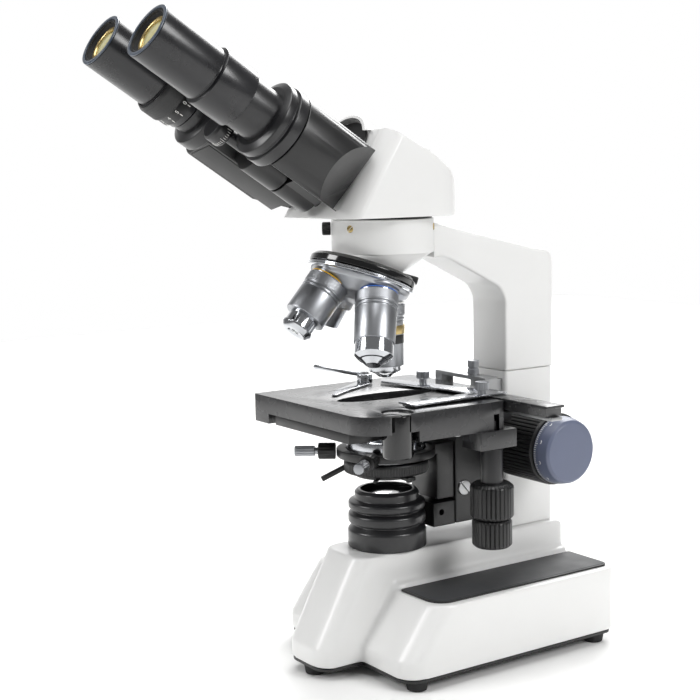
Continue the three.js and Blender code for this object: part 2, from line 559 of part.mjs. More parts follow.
// ---------------------------------------------------------------- butterfly eyepiece tubes
function buildOculars(stand) {
  const ocular = groupAt(stand, HINGE);
  ocular.rotation.x = rad(90 - OCULAR_TILT);
  const z = (reach) => [0, 0, reach];

  const axle = rod(4, z(-12), z(67)).join(turned([[0, 66.6], [8, 66.6], [8.6, 67.4], [8.6, 75], [7.8, 76],
    [0, 76]], FINE_ROUND));
  add(ocular, "hinge_axle", axle, BLACK);
  const hoodCap = turned([[0, -1.3], [20, -1.3], [20, 0.1], [0, 0.1]], ROUND, [0, HOOD_CENTRE, 0]);
  add(ocular, "hood_cap", hoodCap, GLOSS_BLACK);

  // The left tube carries the diopter adjustment, so its housing is the longer one.
  const housingTop = { right: 52, left: 65.5 };
  const collars = {
    right: [[12.1, 52.3], [22.2, 52.3], [22.2, 60], [21, 61], [21, 65.6], [14.6, 66.4]],
    left: [[12.1, 65.8], [20.3, 65.8], [20.3, 75.2], [19.3, 76.2], [14.6, 76.6]],
  };
  for (const [suffix, side] of [["right", 1], ["left", -1]]) {
    const wing = groupAt(ocular);
    wing.rotation.z = side * rad(ARM_LIFT);
    const centre = side * ARM_RADIUS;
    const tubeAt = [centre, 0, 0];
    const ownHub = side > 0 ? [4, 26] : [27, 49];
    const otherHub = side > 0 ? [26.4, 70] : [-5, 26.6];

    const barrel = rod(HOUSING_RADIUS, [centre, 0, 0.5], [centre, 0, housingTop[suffix]], ROUND);
    const section = outline([[side * 14.2, 30], [side * 14.2, -10], [side * 29.8, -22], [side * 60, -22.1],
      [side * 60, 30]]);
    const hub = rod(11, [0, 0, ownHub[0]], [0, 0, ownHub[1]])
      .join(block(Math.min(0, centre), Math.max(0, centre), -9, 9, ...ownHub));
    const facet = new THREE.Shape([[0, 0], [40, 0], [40, 49]].map(([x, y]) => new THREE.Vector2(x, y)));
    const facetCut = new THREE.ExtrudeGeometry(facet, { depth: 60, bevelEnabled: false })
      .rotateX(Math.PI / 2).translate(0, 30, 0);
    if (side < 0) facetCut.rotateZ(Math.PI);
    facetCut.rotateZ(-side * rad(FACET_TURN)).translate(centre, 0, -0.01);
    const housing = barrel.keep(plate(section, -5, 80))
      .cut(rod(11.6, [0, 0, otherHub[0]], [0, 0, otherHub[1]]))
      .join(hub)
      .cut(rod(4.4, z(-5), z(60)), new Solid(facetCut))
      .cut(rod(12.1, [centre, 0, 17], [centre, 0, 80], ROUND));
    add(wing, `tube_housing_${suffix}`, housing, BLACK);

    const tube = turned([...collars[suffix], [14.6, 82], [12.1, 82]], ROUND, tubeAt);
    add(wing, `eyepiece_tube_${suffix}`, tube, BLACK);

    const sleeveRadius = side > 0 ? 16.5 : 15.2;
    const eyepiece = turned([[8.5, 60], [11.7, 60], [11.7, 82.4], [sleeveRadius, 82.4], [sleeveRadius, 104],
      [15, 104.6], [15, EYE_PLANE], [11.8, EYE_PLANE], [10.4, 137], [8.5, 137]], ROUND, tubeAt);
    add(wing, `eyepiece_${suffix}`, eyepiece, BLACK);
  }

  const leftWing = groupAt(ocular);
  leftWing.rotation.z = -rad(ARM_LIFT);
  const diopter = turned([[15.5, 86.4], [16.8, 86.4], [16.8, 92.4], [17.6, 93.4], [17.6, 102.8], [17, 103.8],
    [15.5, 103.8]], ROUND, [-ARM_RADIUS, 0, 0]);
  add(leftWing, "diopter_ring", diopter, BLACK);
}

// ---------------------------------------------------------------- assembly
const microscope = new THREE.Group();
microscope.position.z = -FOOT_HEIGHT;
buildBase(microscope);
buildLamp(microscope);
buildArm(microscope);
buildNosepiece(microscope);
buildFocus(microscope);
buildCondenser(microscope);
buildStage(microscope);
buildHead(microscope);
buildOculars(microscope);

export default microscope;
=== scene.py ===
"""A binocular laboratory microscope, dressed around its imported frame.

Every piece is worked in the millimetres of its own local frame, then set in place in metres. Heights of
the upright pieces are measured from the table, and x = y = 0 is the optical axis. The eyepieces look out
towards -Y and the stage controls are on +X.
"""

import logging
import math
from dataclasses import dataclass
from enum import Enum
from typing import Callable, Iterable, Optional, Sequence

import bmesh
import bpy
from mathutils import Matrix, Vector


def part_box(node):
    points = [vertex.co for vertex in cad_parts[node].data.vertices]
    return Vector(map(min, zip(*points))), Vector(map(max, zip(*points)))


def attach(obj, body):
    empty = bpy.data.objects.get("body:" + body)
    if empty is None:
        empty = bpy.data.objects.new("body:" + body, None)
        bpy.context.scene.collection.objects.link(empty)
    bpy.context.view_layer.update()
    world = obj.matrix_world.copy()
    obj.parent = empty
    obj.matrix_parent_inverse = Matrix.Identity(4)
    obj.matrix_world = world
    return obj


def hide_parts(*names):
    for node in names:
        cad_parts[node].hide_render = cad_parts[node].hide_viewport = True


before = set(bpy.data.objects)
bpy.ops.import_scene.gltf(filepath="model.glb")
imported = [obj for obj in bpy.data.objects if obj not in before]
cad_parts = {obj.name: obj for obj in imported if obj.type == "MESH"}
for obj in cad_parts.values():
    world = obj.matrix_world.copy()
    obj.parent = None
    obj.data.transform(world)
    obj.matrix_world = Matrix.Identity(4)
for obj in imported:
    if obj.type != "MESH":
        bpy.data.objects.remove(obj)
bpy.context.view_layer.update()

LOG = logging.getLogger("microscope")
MM = 0.001
TURN = 2 * math.pi
Point2 = tuple[float, ...]
Point3 = tuple[float, float, float]


# ---------------------------------------------------------------- finishes
def linear(code: str) -> tuple[float, float, float, float]:
    """Turn an sRGB hex code into a linear colour.

    Args:
        code: six hex digits, such as "e9e9e6".

    Returns:
        Red, green, blue and alpha, linear.
    """
    channels = [int(code[i:i + 2], 16) / 255 for i in (0, 2, 4)]
    red, green, blue = [c / 12.92 if c <= 0.04045 else ((c + 0.055) / 1.055) ** 2.4 for c in channels]
    return red, green, blue, 1.0


def add_node(tree: bpy.types.NodeTree, kind: str, settings: Optional[dict] = None,
             values: Optional[dict] = None, links: Optional[dict] = None) -> bpy.types.Node:
    """Add a shader node with its settings, socket values and incoming links.

    Args:
        tree: the material's node tree.
        kind: the node's type name.
        settings: attributes of the node.
        values: input socket names or numbers and their values.
        links: input socket names or numbers and the outputs that feed them.

    Returns:
        The new node.
    """
    made = tree.nodes.new(kind)
    for name, value in (settings or {}).items():
        setattr(made, name, value)
    for socket, value in (values or {}).items():
        made.inputs[socket].default_value = value
    for socket, source in (links or {}).items():
        tree.links.new(source, made.inputs[socket])
    return made


class Surface(Enum):
    """How a surface was made, which sets the pattern of its bump."""

    SPRAYED = "sprayed"
    MOULDED = "moulded"
    TURNED = "turned"
    POLISHED = "polished"


@dataclass(frozen=True)
class Finish:
    """A material: what it is, how its surface was made, and the record's slot that it belongs to."""

    name: str
    slot: str
    color: str
    surface: Surface
    roughness: float
    metallic: float = 0.0
    ior: float = 1.5
    coat: float = 0.0
    coat_roughness: float = 0.1
    transmission: float = 0.0
    grain_mm: float = 0.5
    relief_mm: float = 0.01
    mottle: float = 0.06
    mottle_mm: float = 14.0
    roughness_spread: float = 0.05

    def build(self) -> bpy.types.Material:
        """Make the Blender material once, and return the same one after that."""
        known = bpy.data.materials.get(self.name)
        if known:
            return known
        material = bpy.data.materials.new(self.name)
        material.use_nodes = True
        tree = material.node_tree
        tree.nodes.clear()
        place = add_node(tree, "ShaderNodeTexCoord").outputs["Object"]
        cloud = add_node(tree, "ShaderNodeTexNoise", None,
                         {"Scale": 1 / (self.mottle_mm * MM), "Detail": 3.0}, {"Vector": place}).outputs[0]
        tint = add_node(tree, "ShaderNodeMapRange", None,
                        {"From Min": 0.3, "From Max": 0.7, "To Min": 1 - self.mottle, "To Max": 1.0},
                        {"Value": cloud}).outputs[0]
        base = add_node(tree, "ShaderNodeMix", {"data_type": "RGBA", "blend_type": "MULTIPLY"},
                        {0: 1.0, 6: linear(self.color)}, {7: tint}).outputs[2]
        rough = add_node(tree, "ShaderNodeMapRange", None,
                         {"From Min": 0.3, "From Max": 0.7,
                          "To Min": max(self.roughness - self.roughness_spread, 0.02),
                          "To Max": self.roughness + self.roughness_spread}, {"Value": cloud}).outputs[0]
        height = self._pattern(tree, place)
        normal = add_node(tree, "ShaderNodeBump", None, {"Strength": 1.0, "Distance": self.relief_mm * MM},
                          {"Height": height}).outputs[0]
        shader = add_node(tree, "ShaderNodeBsdfPrincipled", None,
                          {"Metallic": self.metallic, "Coat Weight": self.coat,
                           "Coat Roughness": self.coat_roughness, "Transmission Weight": self.transmission},
                          {"Base Color": base, "Roughness": rough, "Normal": normal})
        if not self.metallic:
            shader.inputs["IOR"].default_value = self.ior
        add_node(tree, "ShaderNodeOutputMaterial", None, None, {"Surface": shader.outputs[0]})
        return material

    def _pattern(self, tree: bpy.types.NodeTree, place: bpy.types.NodeSocket) -> bpy.types.NodeSocket:
        """Make the height pattern of the surface.

        Args:
            tree: the material's node tree.
            place: the object coordinates.

        Returns:
            The output that carries the height.
        """
        scale = 1 / (self.grain_mm * MM)
        if self.surface is Surface.TURNED:
            # The tool leaves rings about the piece's own Z axis, on its flanks and on its faces.
            apart = add_node(tree, "ShaderNodeSeparateXYZ", None, None, {0: place})
            flat = add_node(tree, "ShaderNodeCombineXYZ", None, None,
                            {"X": apart.outputs["X"], "Y": apart.outputs["Y"]}).outputs[0]
            reach = add_node(tree, "ShaderNodeVectorMath", {"operation": "LENGTH"}, None,
                             {0: flat}).outputs["Value"]
            rings = add_node(tree, "ShaderNodeCombineXYZ", None, None,
                             {"X": reach, "Y": apart.outputs["Z"]}).outputs[0]
            return add_node(tree, "ShaderNodeTexNoise", {"noise_dimensions": "2D"},
                            {"Scale": scale, "Detail": 2.0}, {"Vector": rings}).outputs[0]
        if self.surface is Surface.MOULDED:
            cells = add_node(tree, "ShaderNodeTexVoronoi", {"feature": "SMOOTH_F1"},
                             {"Scale": scale}, {"Vector": place}).outputs["Distance"]
            return cells
        return add_node(tree, "ShaderNodeTexNoise", None, {"Scale": scale, "Detail": 2.0},
                        {"Vector": place}).outputs[0]


# Polyester powder coat on cast aluminium: a bright satin skin with a faint orange peel, 1.5 mm across.
POWDER_WHITE = Finish("powder_coat_white", "white_paint", "e3e3e2", Surface.SPRAYED, 0.36, coat=0.25,
                      coat_roughness=0.18, grain_mm=1.5, relief_mm=0.012, mottle=0.015, mottle_mm=30)
# Stoved satin enamel on machined aluminium: near black, with a soft wide highlight.
ENAMEL_BLACK = Finish("stoved_enamel_black", "black_paint", "161617", Surface.SPRAYED, 0.36, coat=0.15,
                      coat_roughness=0.25, grain_mm=0.6, relief_mm=0.008, mottle=0.12)
# The stage's hard satin coat, smooth enough to turn pale where it is seen at a low angle.
ENAMEL_STAGE = Finish("stoved_enamel_stage", "black_paint", "1d1d1f", Surface.SPRAYED, 0.27, coat=0.6,
                      coat_roughness=0.28, grain_mm=0.5, relief_mm=0.004, mottle=0.08)
# Black ABS with the fine spark-eroded grain of the mould, drawn at 0.5 mm so that it shows.
ABS_BLACK = Finish("abs_black", "black_plastic", "141415", Surface.MOULDED, 0.4, ior=1.54, grain_mm=0.5,
                   relief_mm=0.012, mottle=0.1)
# Black anodised aluminium, turned: lathe rings 0.35 mm apart give streaks around the barrel.
ANODISED_BLACK = Finish("anodised_aluminium_black", "black_plastic", "1b1b1e", Surface.TURNED, 0.3,
                        coat=0.2, coat_roughness=0.2, grain_mm=0.35, relief_mm=0.004, mottle=0.1)
# The painted barrels of the eyepiece tubes, the same lathe rings under enamel.
ENAMEL_BARREL = Finish("stoved_enamel_barrel", "black_paint", "1c1c1e", Surface.TURNED, 0.33,
                       coat=0.2, coat_roughness=0.2, grain_mm=0.5, relief_mm=0.004, mottle=0.1)
# Polished black acrylic lacquer: mirror-like, with only a little haze.
LACQUER_BLACK = Finish("lacquer_black", "gloss_black", "08080a", Surface.POLISHED, 0.12, coat=0.5,
                       coat_roughness=0.05, grain_mm=2.0, relief_mm=0.003, roughness_spread=0.03)
# Nitrile rubber: dull, with a dusty grain.
NITRILE = Finish("nitrile_rubber", "rubber", "1b1b1c", Surface.MOULDED, 0.75, ior=1.52, grain_mm=0.6,
                 relief_mm=0.03, mottle=0.2)
# Embossed vinyl sheet, laid in the base's wings: dark grey with a leather-fine emboss 0.8 mm across.
VINYL_GREY = Finish("embossed_vinyl_grey", "grey_pad", "37383a", Surface.MOULDED, 0.62, ior=1.52,
                    grain_mm=0.8, relief_mm=0.05, mottle=0.1)
# Bright chromium plate on turned brass.
CHROMIUM = Finish("chromium_plate", "chrome", "c6c8cc", Surface.POLISHED, 0.12, metallic=1.0, grain_mm=1.2,
                  relief_mm=0.002, mottle=0.04, roughness_spread=0.03)
# Satin chromium on turned brass, the barrels of the objectives: lathe rings drawn 0.25 mm apart.
CHROMIUM_SATIN = Finish("chromium_satin", "satin_barrel", "a9abaf", Surface.TURNED, 0.36, metallic=1.0,
                        grain_mm=0.25, relief_mm=0.006, mottle=0.05)
# Ground steel: screws, rods and the stage rail.
STEEL = Finish("ground_steel", "satin_metal", "aeafb0", Surface.TURNED, 0.34, metallic=1.0, grain_mm=0.3,
               relief_mm=0.006, mottle=0.1)
# Brass under clear lacquer.
BRASS = Finish("lacquered_brass", "satin_metal", "c9b27c", Surface.TURNED, 0.28, metallic=1.0,
               grain_mm=0.3, relief_mm=0.005)
# Blue-grey ABS of the fine focus knobs, moulded smooth.
ABS_BLUE = Finish("abs_blue_grey", "blue_grey", "5f667c", Surface.MOULDED, 0.36, ior=1.54, grain_mm=0.5,
                  relief_mm=0.008, mottle=0.05)
# Ring anodised a lighter blue-grey at the rims of the eyepieces.
RIM_GREY = Finish("anodised_rim_grey", "black_plastic", "3a4452", Surface.TURNED, 0.3, coat=0.3, grain_mm=0.4,
                  relief_mm=0.004)
# Flat black inside the eyepiece barrels, against stray light; the same flat black is painted shade on the
# disc that closes the lamp collar under the field lens.
BAFFLE_AND_SHADE_BLACK = Finish("baffle_and_painted_shade_black", "black_plastic", "0b0b0c", Surface.MOULDED, 0.8, grain_mm=0.4)
# Screen ink.
INK_WHITE = Finish("screen_ink_white", "white_paint", "f2f2ee", Surface.SPRAYED, 0.5, grain_mm=0.3)
INK_YELLOW = Finish("ring_enamel_yellow", "white_paint", "e8b51c", Surface.SPRAYED, 0.3, coat=0.4,
                    grain_mm=0.6)
INK_BLUE = Finish("ring_enamel_blue", "white_paint", "2c62b8", Surface.SPRAYED, 0.3, coat=0.4, grain_mm=0.6)
INK_RED = Finish("ring_enamel_red", "white_paint", "8a2020", Surface.SPRAYED, 0.3, coat=0.4, grain_mm=0.6)
# Crown glass with a magnesium fluoride coating: clear, with a warm straw bloom.
GLASS_COATED = Finish("crown_glass_coated", "glass", "e4dca0", Surface.POLISHED, 0.04, ior=1.52,
                      transmission=0.25, coat=1.0, coat_roughness=0.02, grain_mm=4, relief_mm=0.0005,
                      mottle=0.1, mottle_mm=8, roughness_spread=0.01)
GLASS_CLEAR = Finish("crown_glass", "glass", "e8ecec", Surface.POLISHED, 0.03, ior=1.52, transmission=0.9,
                     coat=0.5, coat_roughness=0.02, grain_mm=4, relief_mm=0.0005, roughness_spread=0.01)


# ---------------------------------------------------------------- local frames
def local_frame(origin: Point3, x_axis: Vector, y_axis: Vector) -> Matrix:
    """A frame in metres whose axes are two given unit vectors and their cross product.

    Args:
        origin: the frame's origin in the row frame, in millimetres.
        x_axis: the direction of local X.
        y_axis: the direction of local Y.

    Returns:
        The frame as a matrix.
    """
    z_axis = x_axis.cross(y_axis)
    rotation = Matrix((x_axis, y_axis, z_axis)).transposed().to_4x4()
    return Matrix.Translation(Vector(origin) * MM) @ rotation


FOOT = -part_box("foot_nose")[0].z / MM
UPRIGHT = Matrix.Translation((0, 0, -FOOT * MM))
OCULAR_TILT = math.radians(32.8)
TUBE_UP = Vector((0, math.sin(OCULAR_TILT), math.cos(OCULAR_TILT)))
HINGE_Y = -44.9
HINGE_Z = 271.6
OCULAR = local_frame((0, HINGE_Y, HINGE_Z - FOOT), Vector((1, 0, 0)), TUBE_UP)
NOSE_TILT = math.radians(20.9)
NOSE_APEX = 267.0
NOSE = Matrix.Translation((0, 0, (NOSE_APEX - FOOT) * MM)) @ Matrix.Rotation(-NOSE_TILT, 4, "X")


def moved(base: Matrix, x: float = 0, y: float = 0, z: float = 0, spin: float = 0) -> Matrix:
    """A frame shifted by millimetres inside another frame, then turned about its own Z by degrees."""
    return base @ Matrix.Translation(Vector((x, y, z)) * MM) @ Matrix.Rotation(math.radians(spin), 4, "Z")


def facing(base: Matrix, start: Point3, direction: Point3) -> Matrix:
    """A frame at a point of another frame whose Z looks along a direction.

    Args:
        base: the frame that the point and the direction are given in.
        start: the point, in millimetres.
        direction: where local Z looks.

    Returns:
        The new frame.
    """
    look = Vector((0, 0, 1)).rotation_difference(Vector(direction).normalized())
    return base @ Matrix.Translation(Vector(start) * MM) @ look.to_matrix().to_4x4()


# ---------------------------------------------------------------- outlines
def fillet(corners: Sequence[Point2], steps: int = 6, closed: bool = True) -> list[tuple[float, float]]:
    """Round the corners of an outline with true arcs.

    Args:
        corners: points as (a, b) or (a, b, radius).
        steps: facets on each arc.
        closed: whether the last point joins the first.

    Returns:
        The outline's points.
    """
    points = []
    count = len(corners)
    for i, corner in enumerate(corners):
        here = Vector(corner[:2])
        radius = corner[2] if len(corner) > 2 else 0.0
        if not radius or (not closed and i in (0, count - 1)):
            points.append((here.x, here.y))
            continue
        to_last = Vector(corners[i - 1][:2]) - here
        to_next = Vector(corners[(i + 1) % count][:2]) - here
        half = to_last.angle(to_next) / 2
        reach = min(radius / math.tan(half), 0.48 * to_last.length, 0.48 * to_next.length)
        radius = reach * math.tan(half)
        to_last.normalize()
        to_next.normalize()
        centre = here + (to_last + to_next).normalized() * (radius / math.sin(half))
        start = here + to_last * reach - centre
        sweep = (here + to_next * reach - centre).angle_signed(start)
        for step in range(steps + 1):
            turned_by = Matrix.Rotation(sweep * step / steps, 2)
            spot = centre + turned_by @ start
            points.append((spot.x, spot.y))
    return points


def ring_arc(radius: float, start: float, end: float, steps: int) -> list[tuple[float, float]]:
    """Points along an arc about the origin, from one angle to another in degrees."""
    angles = [math.radians(start + (end - start) * i / steps) for i in range(steps + 1)]
    return [(radius * math.cos(angle), radius * math.sin(angle)) for angle in angles]


# ---------------------------------------------------------------- pieces on the bench
class Blank:
    """A closed piece that is being worked on, in the millimetres of its own local frame."""

    def __init__(self, work: bmesh.types.BMesh) -> None:
        """Take over a bmesh and turn its faces outwards."""
        bmesh.ops.recalc_face_normals(work, faces=work.faces)
        mesh = bpy.data.meshes.new("blank")
        work.to_mesh(mesh)
        work.free()
        self.item = bpy.data.objects.new("blank", mesh)
        bpy.context.scene.collection.objects.link(self.item)

    def _apply(self) -> None:
        """Turn the modifiers into plain mesh."""
        graph = bpy.context.evaluated_depsgraph_get()
        mesh = bpy.data.meshes.new_from_object(self.item.evaluated_get(graph), depsgraph=graph)
        old = self.item.data
        self.item.modifiers.clear()
        self.item.data = mesh
        bpy.data.meshes.remove(old)

    def _boolean(self, others: Iterable["Blank"], operation: str) -> "Blank":
        """Cut, join or keep with other blanks, which are used up."""
        used = list(others)
        for other in used:
            modifier = self.item.modifiers.new(operation, "BOOLEAN")
            modifier.object = other.item
            modifier.operation = operation
            modifier.solver = "EXACT"
        self._apply()
        for other in used:
            other.scrap()
        return self

    def cut(self, *others: "Blank") -> "Blank":
        """Take other blanks away from this one."""
        return self._boolean(others, "DIFFERENCE")

    def join(self, *others: "Blank") -> "Blank":
        """Melt other blanks into this one."""
        return self._boolean(others, "UNION")

    def keep(self, *others: "Blank") -> "Blank":
        """Keep only what other blanks also hold."""
        return self._boolean(others, "INTERSECT")

    def gather(self, *others: "Blank") -> "Blank":
        """Put other blanks beside this one in the same mesh."""
        work = bmesh.new()
        work.from_mesh(self.item.data)
        for other in others:
            work.from_mesh(other.item.data)
            other.scrap()
        work.to_mesh(self.item.data)
        work.free()
        return self

    def edges(self, width: float, segments: int = 3, angle: float = 30) -> "Blank":
        """Round every edge that is sharper than an angle."""
        modifier = self.item.modifiers.new("edges", "BEVEL")
        modifier.width = width
        modifier.segments = segments
        modifier.limit_method = "ANGLE"
        modifier.angle_limit = math.radians(angle)
        self._apply()
        return self

    def cast(self, grid: float, rounds: int) -> "Blank":
        """Melt overlapping shells into one skin with the soft edges of a painted casting.

        Args:
            grid: the size of the skin's faces in millimetres.
            rounds: how often the skin is smoothed.

        Returns:
            The same blank.
        """
        remesh = self.item.modifiers.new("skin", "REMESH")
        remesh.mode = "VOXEL"
        remesh.voxel_size = grid
        smooth = self.item.modifiers.new("soften", "SMOOTH")
        smooth.factor = 0.5
        smooth.iterations = rounds
        self._apply()
        return self

    def shift(self, x: float = 0, y: float = 0, z: float = 0) -> "Blank":
        """Move the blank in its local frame."""
        self.item.data.transform(Matrix.Translation((x, y, z)))
        return self

    def turn(self, degrees: float, axis: str = "Z") -> "Blank":
        """Turn the blank about an axis of its local frame."""
        self.item.data.transform(Matrix.Rotation(math.radians(degrees), 4, axis))
        return self

    def mirror_x(self) -> "Blank":
        """Mirror the blank in its local X."""
        self.item.data.transform(Matrix.Scale(-1, 4, (1, 0, 0)))
        self.item.data.flip_normals()
        return self

    def wrap(self, radius: float) -> "Blank":
        """Bend a flat blank around Z: x runs along the circle, y along the axis and z outwards."""
        for vertex in self.item.data.vertices:
            angle = vertex.co.x / radius
            reach = radius + vertex.co.z
            vertex.co = (reach * math.cos(angle), reach * math.sin(angle), vertex.co.y)
        return self

    def scrap(self) -> None:
        """Remove the blank from the scene."""
        mesh = self.item.data
        bpy.data.objects.remove(self.item)
        bpy.data.meshes.remove(mesh)

    def place(self, name: str, where: Matrix, body: str, finish: Finish, replaces: Sequence[str] = (),
              sharp: float = 38) -> bpy.types.Object:
        """Set the finished piece in the assembly.

        Args:
            name: the piece's name.
            where: its local frame, in metres.
            body: the frame's body that it moves with.
            finish: its material.
            replaces: frame nodes that it stands for.
            sharp: edges above this angle in degrees stay crisp.

        Returns:
            The piece's object.
        """
        item = self.item
        item.name = name
        item.data.name = name
        item.data.transform(Matrix.Scale(MM, 4))
        item.data.shade_smooth()
        item.data.set_sharp_from_angle(angle=math.radians(sharp))
        item.data.materials.clear()
        item.data.materials.append(finish.build())
        item.matrix_world = where
        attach(item, body)
        if replaces:
            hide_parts(*replaces)
        LOG.info("%s rides on %s", name, body)
        return item


def slab(outline: Sequence[Point2], z0: float, z1: float, lean: float = 0) -> Blank:
    """Extrude a plan outline upwards.

    Args:
        outline: points in order, (x, y).
        z0: the underside.
        z1: the top.
        lean: how far every point ahead of y = 0 moves back at the top.

    Returns:
        The blank.
    """
    work = bmesh.new()
    low = [work.verts.new((x, y, z0)) for x, y in outline]
    high = [work.verts.new((x, y + (lean if y < 0 else 0), z1)) for x, y in outline]
    work.faces.new(low)
    work.faces.new(high)
    for i, corner in enumerate(low):
        after = (i + 1) % len(low)
        work.faces.new((corner, low[after], high[after], high[i]))
    return Blank(work)


def side_slab(outline: Sequence[Point2], x0: float, x1: float) -> Blank:
    """Extrude a side outline of (y, z) points across from x0 to x1."""
    blank = slab(outline, x0, x1)
    turn = Matrix(((0, 0, 1, 0), (1, 0, 0, 0), (0, 1, 0, 0), (0, 0, 0, 1)))
    blank.item.data.transform(turn)
    return blank


def box(x0: float, x1: float, y0: float, y1: float, z0: float, z1: float) -> Blank:
    """A rectangular block between two corners."""
    return slab([(x0, y0), (x1, y0), (x1, y1), (x0, y1)], z0, z1)


def turned(profile: Sequence[Point2], segments: int = 96, closed: bool = False,
           relief: Optional[Callable[[float, float, float], float]] = None, steps: int = 3) -> Blank:
    """Turn a profile about Z.

    Args:
        profile: (radius, height) or (radius, height, rounding) points; an open one starts and ends on
            the axis.
        segments: facets around.
        closed: whether the profile is a closed loop beside the axis.
        relief: gives the radius from the angle, the radius and the height, for knurls and flutes.
        steps: facets on each rounding.

    Returns:
        The blank.
    """
    points = fillet(profile, steps, closed)
    work = bmesh.new()
    rings = []
    for radius, height in points:
        if radius < 1e-6:
            rings.append([work.verts.new((0, 0, height))])
            continue
        ring = []
        for i in range(segments):
            angle = TURN * i / segments
            reach = relief(angle, radius, height) if relief else radius
            ring.append(work.verts.new((reach * math.cos(angle), reach * math.sin(angle), height)))
        rings.append(ring)
    pairs = list(zip(rings, rings[1:]))
    if closed:
        pairs.append((rings[-1], rings[0]))
    for first, second in pairs:
        for i in range(segments):
            after = (i + 1) % segments
            if len(first) == 1 and len(second) == 1:
                break
            if len(first) == 1:
                work.faces.new((first[0], second[i], second[after]))
            elif len(second) == 1:
                work.faces.new((first[i], second[0], first[after]))
            else:
                work.faces.new((first[i], second[i], second[after], first[after]))
    return Blank(work)


def bar(radius: float, start: Point3, end: Point3, segments: int = 48, edge: float = 0.3) -> Blank:
    """A round bar between two points, with its ends eased by `edge`."""
    span = Vector(end) - Vector(start)
    blank = turned([(0, 0), (radius, 0, edge), (radius, span.length, edge), (0, span.length)], segments)
    look = Vector((0, 0, 1)).rotation_difference(span.normalized()).to_matrix().to_4x4()
    blank.item.data.transform(Matrix.Translation(start) @ look)
    return blank


def loft(first: Sequence[Point3], second: Sequence[Point3]) -> Blank:
    """A closed skin between two loops with the same number of points."""
    work = bmesh.new()
    lower = [work.verts.new(point) for point in first]
    upper = [work.verts.new(point) for point in second]
    work.faces.new(lower)
    work.faces.new(upper)
    for i, corner in enumerate(lower):
        after = (i + 1) % len(lower)
        work.faces.new((corner, lower[after], upper[after], upper[i]))
    return Blank(work)


def lettering(text: str, height: float, depth: float = 0.08) -> Blank:
    """Printed figures standing on local XY, centred, `height` millimetres tall."""
    curve = bpy.data.curves.new("figures", "FONT")
    curve.body = text
    curve.size = height * 1.35
    curve.align_x = "CENTER"
    curve.align_y = "CENTER"
    curve.extrude = depth / 2
    curve.resolution_u = 3
    item = bpy.data.objects.new("figures", curve)
    bpy.context.scene.collection.objects.link(item)
    graph = bpy.context.evaluated_depsgraph_get()
    mesh = bpy.data.meshes.new_from_object(item.evaluated_get(graph), depsgraph=graph)
    work = bmesh.new()
    work.from_mesh(mesh)
    bmesh.ops.remove_doubles(work, verts=work.verts, dist=0.001)
    bpy.data.objects.remove(item)
    bpy.data.curves.remove(curve)
    bpy.data.meshes.remove(mesh)
    return Blank(work)


# ---------------------------------------------------------------- reliefs
def diamond(count: int, depth: float, pitch: float) -> Callable[[float, float, float], float]:
    """A diamond knurl: `count` diamonds around, `depth` deep, `pitch` along the axis."""
    def relief(angle: float, radius: float, height: float) -> float:
        one = abs((angle * count / TURN + height / pitch) % 1 - 0.5)
        two = abs((angle * count / TURN - height / pitch) % 1 - 0.5)
        return radius - depth * (1 - 2 * min(one, two))
    return relief


def flutes(count: int, depth: float, low: float, high: float, width: float = 0.3) -> Callable[..., float]:
    """Round grooves along the axis between two heights: `width` is each groove's share of the pitch."""
    def relief(angle: float, radius: float, height: float) -> float:
        if not low < height < high:
            return radius
        phase = abs((angle * count / TURN) % 1 - 0.5) * 2
        return radius - depth * max(0.0, math.cos(phase / width * math.pi / 2) if phase < width else 0.0)
    return relief


def rows(radius: float, z0: float, z1: float, step: float) -> list[Point2]:
    """Profile points up a straight flank, close enough together to carry a knurl."""
    count = max(2, round(abs(z1 - z0) / step))
    return [(radius, z0 + (z1 - z0) * i / count) for i in range(count + 1)]


def slotted_screw(radius: float, height: float, slot: float = 0.7) -> Blank:
    """A cheese-head screw standing on local XY, with a driver slot along X."""
    head = turned([(0, 0), (radius, 0), (radius, height, 0.35), (0, height)], 40)
    groove = box(-radius - 1, radius + 1, -slot / 2, slot / 2, height * 0.5, height + 1)
    return head.cut(groove)


